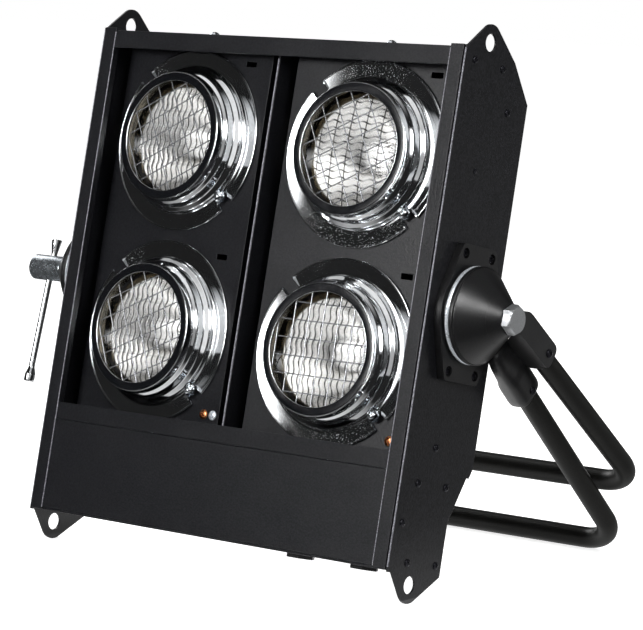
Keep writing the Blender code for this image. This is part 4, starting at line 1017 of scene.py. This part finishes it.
PIVOT_HOLE, BASE_SEAT = 8.5, 216.6
recesses = [(across * 20.5, up * 52.5) for across in (-1, 1) for up in (-1, 1)]
wells = [circle(at, 4.8, 32) for at in recesses]
base = plate(base_outline((27, 61), 5, 45.5), 212.6, 220.3, wells, axis=0)
step = [(PIVOT_HOLE, 219.0, 0), (42, 219.0, 0), (42, 222.3, 0.8), (PIVOT_HOLE, 222.3, 0)]
base += revolve(rounded(step), 120, axis=0)
edge = [(42.8, 222.6, 0), (44, 223.6, 0.3), (44, 225.2, 0.3), (42.8, 226.4, 0)]
ring = revolve(rounded([(PIVOT_HOLE, 222.6, 0), *edge, (PIVOT_HOLE, 226.4, 0)]), 140, axis=0)
for word, side in SIDES.items():
    node = f"base_plate_{word}"
    make(f"{node}_shown", mirrored(base, side), PIVOT, casting, "housing",
         [node], 1.1, 3)
    node = f"bearing_ring_{word}"
    make(f"{node}_shown", mirrored(ring, side), PIVOT, bright_zinc, "housing", [node])
    bolts = []
    for y, z in recesses:
        bolts += moved(screw_head(3.9, 3.2, socket=2.0), facing((side * BASE_SEAT, y, z), (side, 0, 0)))
    make(f"base_screws_{word}", bolts, PIVOT, dark_zinc, "housing", smooth=30)

# %% [markdown]
# ## Inner yoke
# On each side a cast cone turns on the bearing ring, and a sleeve grows out of it to take the tube's
# end. The cone is spun. The sleeve is a rounded box whose size changes from station to station down its
# length, narrow where it leaves the cone and widest round the tube. The tube is bent from one length.

# %% Inner yoke castings
CONE = rounded(
    [
        (PIVOT_HOLE, 226.7, 0),
        (43.2, 226.7, 0),
        (44.0, 227.6, 0.8),
        (44.0, 230.9, 0.9),
        (42.6, 231.4, 0.3),
        (42.6, 232.1, 0.4),
        (22.92, 252.2, 0),
        (PIVOT_HOLE, 252.2, 0),
    ],
    5,
)
# The sleeve's stations: height, middle across, half across, half along
SLEEVE = [
    (-30, 229.5, 3.5, 8.0),
    (-38, 229.5, 3.9, 9.5),
    (-41, 229.7, 4.6, 11.0),
    (-43, 229.7, 5.7, 12.6),
    (-46, 229.6, 6.9, 14.0),
    (-50, 229.4, 7.7, 15.3),
    (-57, 229.2, 8.2, 16.2),
    (-63, 229.0, 8.4, 16.5),
    (-74, 228.6, 9.2, 16.5),
    (-82, 227.7, 11.5, 16.5),
    (-86, 227.5, 11.9, 16.5),
    (-105, 227.5, 11.9, 16.5),
    (-109, 227.5, 11.4, 16.0),
    (-111.2, 227.5, 9.9, 14.5),
    (-112, 227.5, 7.5, 12.0),
]
INNER_OFFSET, TUBE = -2.2, 10.0


def sleeve(stations, middle, sides=64, power=3.2, steps=5):
    """A rounded box along Z with capped ends: |x / a|^p + |y / b|^p = 1 at every height."""
    z, across, a, b = np.array(stations).T
    t = np.linspace(0, len(z) - 1, (len(z) - 1) * steps + 1)
    z, across, a, b = (np.interp(t, np.arange(len(z)), values) for values in (z, across, a, b))
    turn = np.arange(sides) * math.tau / sides
    c, s = (np.sign(f) * np.abs(f) ** (2 / power) for f in (np.cos(turn), np.sin(turn)))
    x, y = across[:, None] + np.outer(a, c), middle + np.outer(b, s)
    grid = np.stack([x, y, z[:, None] + 0 * c], -1)
    ends = np.arange(sides)
    caps = np.stack([ends, ends[::-1] + (len(z) - 1) * sides])
    return surface(grid, close_cols=True) + [(grid.reshape(-1, 3), caps)]


def arm_screw(name, side, at, place, body):
    """The socket screw that holds a yoke's tube in its arm; at is its place on the right side."""
    across, deep, up = at
    screw = moved(screw_head(4.0, 2.2, socket=1.4), facing((side * across, deep, up), (side, 0, 0)))
    make(f"{name}_shown", screw, place, dark_zinc, body, [name], smooth=30)


arm = revolve(CONE, 140, axis=0) + sleeve(SLEEVE, INNER_OFFSET)
for word, side in SIDES.items():
    node = f"cone_arm_{word}"
    make(f"{node}_shown", mirrored(arm, side), INNER, casting, "inner_yoke",
         [node], smooth=45)
    arm_screw(f"inner_arm_screw_{word}", side, (239.4, INNER_OFFSET, -103.5), INNER, "inner_yoke")

# %% [markdown]
# A yoke's tube follows three straight lines joined by two bends: down one leg, across and up again.

# %% Inner yoke tube


def yoke_path(half, length, offset, start, bend=40):
    """Down one leg, round a bend, across and up again, in the yoke's own frame."""
    corner = arc((half - bend, -length + bend), bend, 0, -90, 24)
    right = np.concatenate([[(half, -start), (half, -length * 0.6)], corner])
    flat = np.concatenate([right, [(0, -length)], right[::-1] * (-1, 1)])
    return np.stack([flat[:, 0], np.full(len(flat), offset), flat[:, 1]], -1)


path = yoke_path(228, 343.8, INNER_OFFSET, 90)
make("inner_tube_shown", tube(path, TUBE, 56), INNER, tube_paint, "inner_yoke",
     ["inner_yoke_tube"])

# %% [markdown]
# ## Outer yoke
# The outer yoke's arm is a flat casting: a round boss under the bolt, a neck, and a block that takes
# its tube. The flat part is cut from its outline seen from the side, the block from its outline
# seen from the front, and a cone under the boss carries on the slope of the inner yoke's cone.

# %% Outer yoke
BOSS, OUTER_OFFSET, ARM_OUT = 13.5, 11.9, 262.0
BOSS_CONE = [(8.6, 252.3, 0), (22.82, 252.3, 0), (14.0, 261.3, 0.8), (13.2, 261.9, 0), (8.6, 261.9, 0)]
OUTER_FLAT = np.concatenate(
    [
        arc((0, 0), BOSS, 180, 10, 40),
        rounded([(23.9, -13, 16), (23.9, -82, 8), (-0.1, -82, 8), (-0.1, -24, 8), (-9, -13, 5)], 7),
    ]
)
OUTER_DEEP = rounded(
    [
        (-22.5, 254, 1),
        (-38.5, 239.6, 3),
        (-47, 238, 2),
        (-71, 238.3, 3),
        (-82, 240.3, 5),
        (-82, 256, 0.5),
        (-22.5, 256, 0.5),
    ],
    6,
)
arm = plate(OUTER_FLAT, 252.6, ARM_OUT, [circle((0, 0), PIVOT_HOLE, 40)], axis=0)
arm += revolve(rounded(BOSS_CONE, 4), 90, axis=0)
arm += plate(OUTER_DEEP, 0.2, 23.6, axis=1)
for word, side in SIDES.items():
    node = f"outer_arm_{word}"
    make(f"{node}_shown", mirrored(arm, side), OUTER, casting, "outer_yoke",
         [node], 1.6, 3, smooth=40)
    arm_screw(f"outer_arm_screw_{word}", side, (ARM_OUT, OUTER_OFFSET, -72.6), OUTER, "outer_yoke")
path = yoke_path(250, 300, OUTER_OFFSET, 52)
make("outer_tube_shown", tube(path, TUBE, 56), OUTER, tube_paint, "outer_yoke",
     ["outer_yoke_tube"])

# %% [markdown]
# ## Pivot bolt and stud
# The hexagon of the bolt has chamfered corners. At turn a its side is at half the flats / cos(a), with a
# counted from the middle of a flat, and the chamfer starts lower where the corner reaches farther out.

# %% Pivot bolt and stud
HALF_FLATS, CHAMFER, CAP = 12, 0.55, 11.4
HEAD_LOW, CORNER_HIGH, HEAD_HIGH = 262.3, 269.6, 271.0
SHANK, ROOT = 8.0, 212.9
turns = np.arange(72) * math.tau / 72
to_flat = HALF_FLATS / np.cos((turns + math.pi / 6) % (math.pi / 3) - math.pi / 6)
rows = [(HEAD_LOW, 0), (HEAD_LOW, to_flat), (CORNER_HIGH - CHAMFER * (to_flat - HALF_FLATS), to_flat)]
rows += [(HEAD_HIGH, CAP), (HEAD_HIGH, 0)]
head = [np.stack([x + 0 * turns, r * np.cos(turns), r * np.sin(turns)], -1) for x, r in rows]
shank = revolve([(0.01, ROOT), (SHANK, ROOT), (SHANK, 264.0), (0.01, 264.0)], 40, axis=0)
make("pivot_bolt_shown", surface(np.stack(head), close_cols=True) + shank, PIVOT, bolt_zinc, "housing",
     ["pivot_bolt"], smooth=28)
stud = revolve([(0.01, -276.0), (SHANK, -276.0), (SHANK, -ROOT), (0.01, -ROOT)], 40, axis=0)
make("pivot_stud_shown", stud, PIVOT, zinc, "housing", ["pivot_stud"])

# %% [markdown]
# ## Clamp handle
# On the left the pivot is clamped by hand. The handle is a turned hub, threaded on the stud, with a bar
# that slides through it and is flared at both ends so that it can't fall out.

# %% Clamp handle
CLAMP = placed(PIVOT, (-262.3, 0, 0), "X", BAR_TURN)
hub = rounded(
    [
        (8.4, 0, 0),
        (12.0, 0, 0.5),
        (12.5, -1.2, 0.5),
        (12.5, -39.5, 1.5),
        (10.5, -41.5, 1.0),
        (0.01, -41.5, 0),
        (0.01, -14, 0),
        (8.4, -14, 0),
    ],
    5,
)
make("clamp_hub_shown", revolve(hub, 80, axis=0), CLAMP, turned_zinc, "clamp_hub",
     ["clamp_hub"])
bar = rounded(
    [
        (0.01, -113.5, 0),
        (5.4, -113.5, 1.6),
        (5.4, -106.5, 2),
        (3.25, -99.5, 8),
        (3.25, 14.5, 8),
        (4.8, 22.5, 3),
        (5.6, 28.5, 1.0),
        (0.01, 28.5, 0),
    ],
    5,
)
make("tommy_bar_shown", revolve(bar, 48), placed(CLAMP, (-20.75, 0, 0)), zinc, "tommy_bar",
     ["tommy_bar"])

# %% [markdown]
# ## Cable glands
# Two plastic glands under the bottom panel hold the supply cables. Each is a hexagon nut below the
# sheet and a threaded ring through it, with a clear bore.

# %% Cable glands
BORE = 6.5
gland = plate(circle((0, 0), 2 * HALF_FLATS / math.sqrt(3), 6), -4.8, -0.3, [circle((0, 0), BORE, 40)])
gland += revolve(rounded([(BORE, -2, 0), (9.7, -2, 0), (9.7, 11, 1), (BORE, 11, 0.5)]), 48)
for name, x in (("inner", 83.5), ("outer", 155.5)):
    node = f"cable_gland_{name}"
    make(f"{node}_shown", gland, placed(HOUSING, (x, 45, 0)), plastic, "housing",
         [node], 0.6)

# %% [markdown]
# ## Camera
# The camera was solved from the housing's corners, the lamp circles and the pivot: 2.8 m away on a long
# lens, a little right of the front. The small shift stands for the photograph's off-centre crop. The
# Standard view shows a colour as it is written.

# %% Camera
WIDE, FOCAL_PIXELS, SENSOR = 643, 3043.36, 36
camera_data = bpy.data.cameras.new("camera")
camera_data.sensor_fit = "HORIZONTAL"
camera_data.sensor_width = SENSOR
camera_data.lens = FOCAL_PIXELS / WIDE * SENSOR
camera_data.shift_x, camera_data.shift_y = 0.008829, -0.001807
camera_data.clip_start, camera_data.clip_end = 0.1, 60
camera = bpy.data.objects.new("camera", camera_data)
right = Vector((0.78761795, 0.6158577, 0.01942293))
down = Vector((0.09141846, -0.08562507, -0.99212449))
ahead = Vector((-0.60934442, 0.78319068, -0.1237406))
eye = Vector((1.76606825, -2.26382577, 0.5803568))
camera.matrix_world = Matrix.Translation(eye) @ Matrix((right, -down, -ahead)).transposed().to_4x4()
bpy.context.scene.collection.objects.link(camera)
bpy.context.scene.camera = camera
bpy.context.scene.view_settings.view_transform = "Standard"
print("camera, m from the object's middle:", round((eye - Vector((0, 0, 0.25))).length, 2))

# %% [markdown]
# ## Floor and world
# The camera and rays through glass see white everywhere, and so would reflections, if the dark surround
# that comes next did not stand in their way. The floor glows a little less than white, and the soft
# light makes up the rest, which leaves the shadow.

# %% Floor and world
FLOOR_REACH, FLOOR_GLOW, ROOM_LIGHT = 12, 0.78, 0.28


def seen_by_eye(tree):
    """One for a ray from the camera, a reflection or glass, and zero for the ones that only light."""
    light = add(tree, "LightPath", out=None).outputs
    seen = add(tree, "Math", light["Is Camera Ray"], light["Is Glossy Ray"], operation="MAXIMUM")
    return add(tree, "Math", seen, light["Is Transmission Ray"], operation="MAXIMUM")


floor_mesh = bpy.data.meshes.new("floor")
corners = [(x * FLOOR_REACH, y * FLOOR_REACH, 0) for x, y in ((-1, -1), (1, -1), (1, 1), (-1, 1))]
floor_mesh.from_pydata(corners, [], [(0, 1, 2, 3)])
floor = bpy.data.objects.new("floor", floor_mesh)
bpy.context.scene.collection.objects.link(floor)
# Matt white board: shadows show on it, reflections don't
floor_material, tree, shader = new_material("floor_white")
glow = add(tree, "Math", seen_by_eye(tree), FLOOR_GLOW, operation="MULTIPLY")
connect(tree, shader, {"Base Color": linear("#f4f4f4"), "Roughness": 0.9, "Specular IOR Level": 0.0,
                       "Emission Color": (1, 1, 1, 1), "Emission Strength": glow})
floor_mesh.materials.append(floor_material)

world = bpy.data.worlds.new("studio")
bpy.context.scene.world = world
world.use_nodes = True
tree = world.node_tree
tree.nodes.clear()
white = add(tree, "Background", (1, 1, 1, 1), 1.0)
room = add(tree, "Background", (1, 1, 1, 1), ROOM_LIGHT)
add(tree, "OutputWorld", add(tree, "MixShader", seen_by_eye(tree), room, white), out=None)
print("floor and world: white to the eye, room light", ROOM_LIGHT)

# %% [markdown]
# ## What the chrome mirrors
# Chrome has no look of its own, only what stands round it. The photograph's studio was dark, with soft
# bright bands. So a dark sphere stands round the object, and its glow changes with the angle away
# from the direction in which a trim's face mirrors the camera: dark there, a bright band 62 to 72
# degrees off, a faint one at 114 and a grey field behind. Soft round spots stand for three of the
# lamps, because a lamp's own hard edge would cut the chrome into blocks. The sphere and a dark
# sheet on the floor are seen by reflections alone: they hide nothing and cast no shadow.

# %% Directions
CENTRE = Vector((0, 0, 0.25))
MIRRORED = (-38.6, 12.5)


def direction(azimuth, elevation):
    """Unit vectors (sin a cos e, -cos a cos e, sin e); azimuth 0 is in front, positive to its right."""
    a, e = np.radians(azimuth), np.radians(elevation)
    return np.stack([np.sin(a) * np.cos(e), -np.cos(a) * np.cos(e), np.sin(e)], -1)


def round_mirrored(away, turn):
    """Directions at an angle away from the mirrored one: cos away x middle + sin away x outward."""
    middle = direction(*MIRRORED)
    beside = np.cross((0, 0, 1), middle)
    beside /= np.linalg.norm(beside)
    away, turn = np.radians(away)[..., None], np.radians(turn)[..., None]
    outward = np.cos(turn) * beside + np.sin(turn) * np.cross(middle, beside)
    return np.cos(away) * middle + np.sin(away) * outward


print("mirrored direction:", direction(*MIRRORED).round(2))

# %% [markdown]
# The glow is worked out for each point of a fine grid and stored with it, so that a band's edge is as
# soft as its numbers say. A spot adds brightness x (1 - (off / width)^2)^2, where off is the angle from
# its middle.

# %% The dark surround
ROOM_RADIUS, CARD_GLOW = 3.4, 0.012
AWAY = [0, 46, 62, 72, 88, 100, 114, 128, 158, 168, 180]
GLOW = [0.0, 0.0, 0.9, 0.9, 0.0, 0.0, 0.2, 0.0, 0.0, 0.3, 0.3]
# The soft spots: azimuth, elevation, degrees to the edge, brightness in the middle
SPOTS = [(-12, 17.5, 14, 30), (-105, 25, 18, 11), (60, 28, 16, 15)]
# The sheet on the floor, in metres and degrees: bright near the object, and grey behind it
NEAR, NEAR_GLOW = [0.2, 0.5], [0.9, 0.0]
BEHIND, BEHIND_GLOW, SHEET_HEIGHT = [105, 125], 0.3, 0.004
# Black cloth: it gives back next to nothing, and its glow is what a trim sees of the room
surround, tree, shader = new_material("surround")
glow = add(tree, "Attribute", attribute_name="glow", out="Fac")
connect(tree, shader, {"Base Color": (0.004, 0.004, 0.004, 1), "Roughness": 1.0, "Specular IOR Level": 0.0,
                       "Emission Color": (1, 1, 1, 1), "Emission Strength": glow})


def card(name, points, glow):
    """A surface from a grid of points, each with its own glow, seen by reflections only."""
    mesh = bpy.data.meshes.new(name)
    mesh.from_pydata(points.reshape(-1, 3), [], quads(*points.shape[:2]).tolist())
    mesh.materials.append(surround)
    write_attribute(mesh, "glow", (CARD_GLOW + glow).ravel())
    obj = bpy.data.objects.new(name, mesh)
    obj.visible_camera = obj.visible_diffuse = obj.visible_shadow = obj.visible_transmission = False
    bpy.context.scene.collection.objects.link(obj)
    print(f"{name}: glows from {CARD_GLOW + glow.min():.2f} to {CARD_GLOW + glow.max():.2f}")


away, turn = np.meshgrid(np.linspace(0, 180, 121), np.linspace(0, 360, 121), indexing="ij")
outward = round_mirrored(away, turn)
glow = np.interp(away, AWAY, GLOW)
for azimuth, elevation, width, brightness in SPOTS:
    off = np.degrees(np.arccos(np.clip(outward @ direction(azimuth, elevation), -1, 1)))
    glow += brightness * np.clip(1 - (off / width) ** 2, 0, 1) ** 2
card("surround", np.array(CENTRE) + ROOM_RADIUS * outward, glow)
round_about, outward_to = np.linspace(-110, 172, 48), np.linspace(0.18, ROOM_RADIUS, 40)
azimuth, reach = np.meshgrid(round_about, outward_to, indexing="ij")
glow = np.maximum(np.interp(reach, NEAR, NEAR_GLOW), BEHIND_GLOW * np.interp(azimuth, BEHIND, [0, 1]))
sheet = direction(azimuth, 0 * azimuth) * reach[..., None]
card("surround_floor", sheet + (0, 0, SHEET_HEIGHT), glow)

# %% [markdown]
# ## Lamps of the studio
# Four large soft lamps light the object evenly: one in front, one on each side and one from behind and
# above, which draws a light edge along the top. Neither reflections nor rays through glass see them.

# %% Lamps of the studio


def softbox(name, azimuth, elevation, distance, size, power):
    """An area lamp aimed at the middle of the object."""
    data = bpy.data.lights.new(name, "AREA")
    data.shape, data.size, data.size_y = "ELLIPSE", *size
    data.energy = power
    lamp = bpy.data.objects.new(name, data)
    back = Vector(direction(azimuth, elevation))
    lamp.location = CENTRE + back * distance
    lamp.rotation_euler = back.to_track_quat("Z", "Y").to_euler()
    lamp.visible_transmission = lamp.visible_glossy = False
    bpy.context.scene.collection.objects.link(lamp)
    print(f"{name}: {power} W at {distance} m")


# Name, azimuth, elevation, distance and size in metres, and power in watts
softbox("key", -12, 17.5, 2.3, (0.6, 0.5), 32)
softbox("left", -105, 25, 2.6, (0.8, 1.4), 25)
softbox("right", 60, 28, 2.5, (0.7, 1.3), 24)
softbox("back", 130, 42, 2.6, (1.2, 1.0), 30)
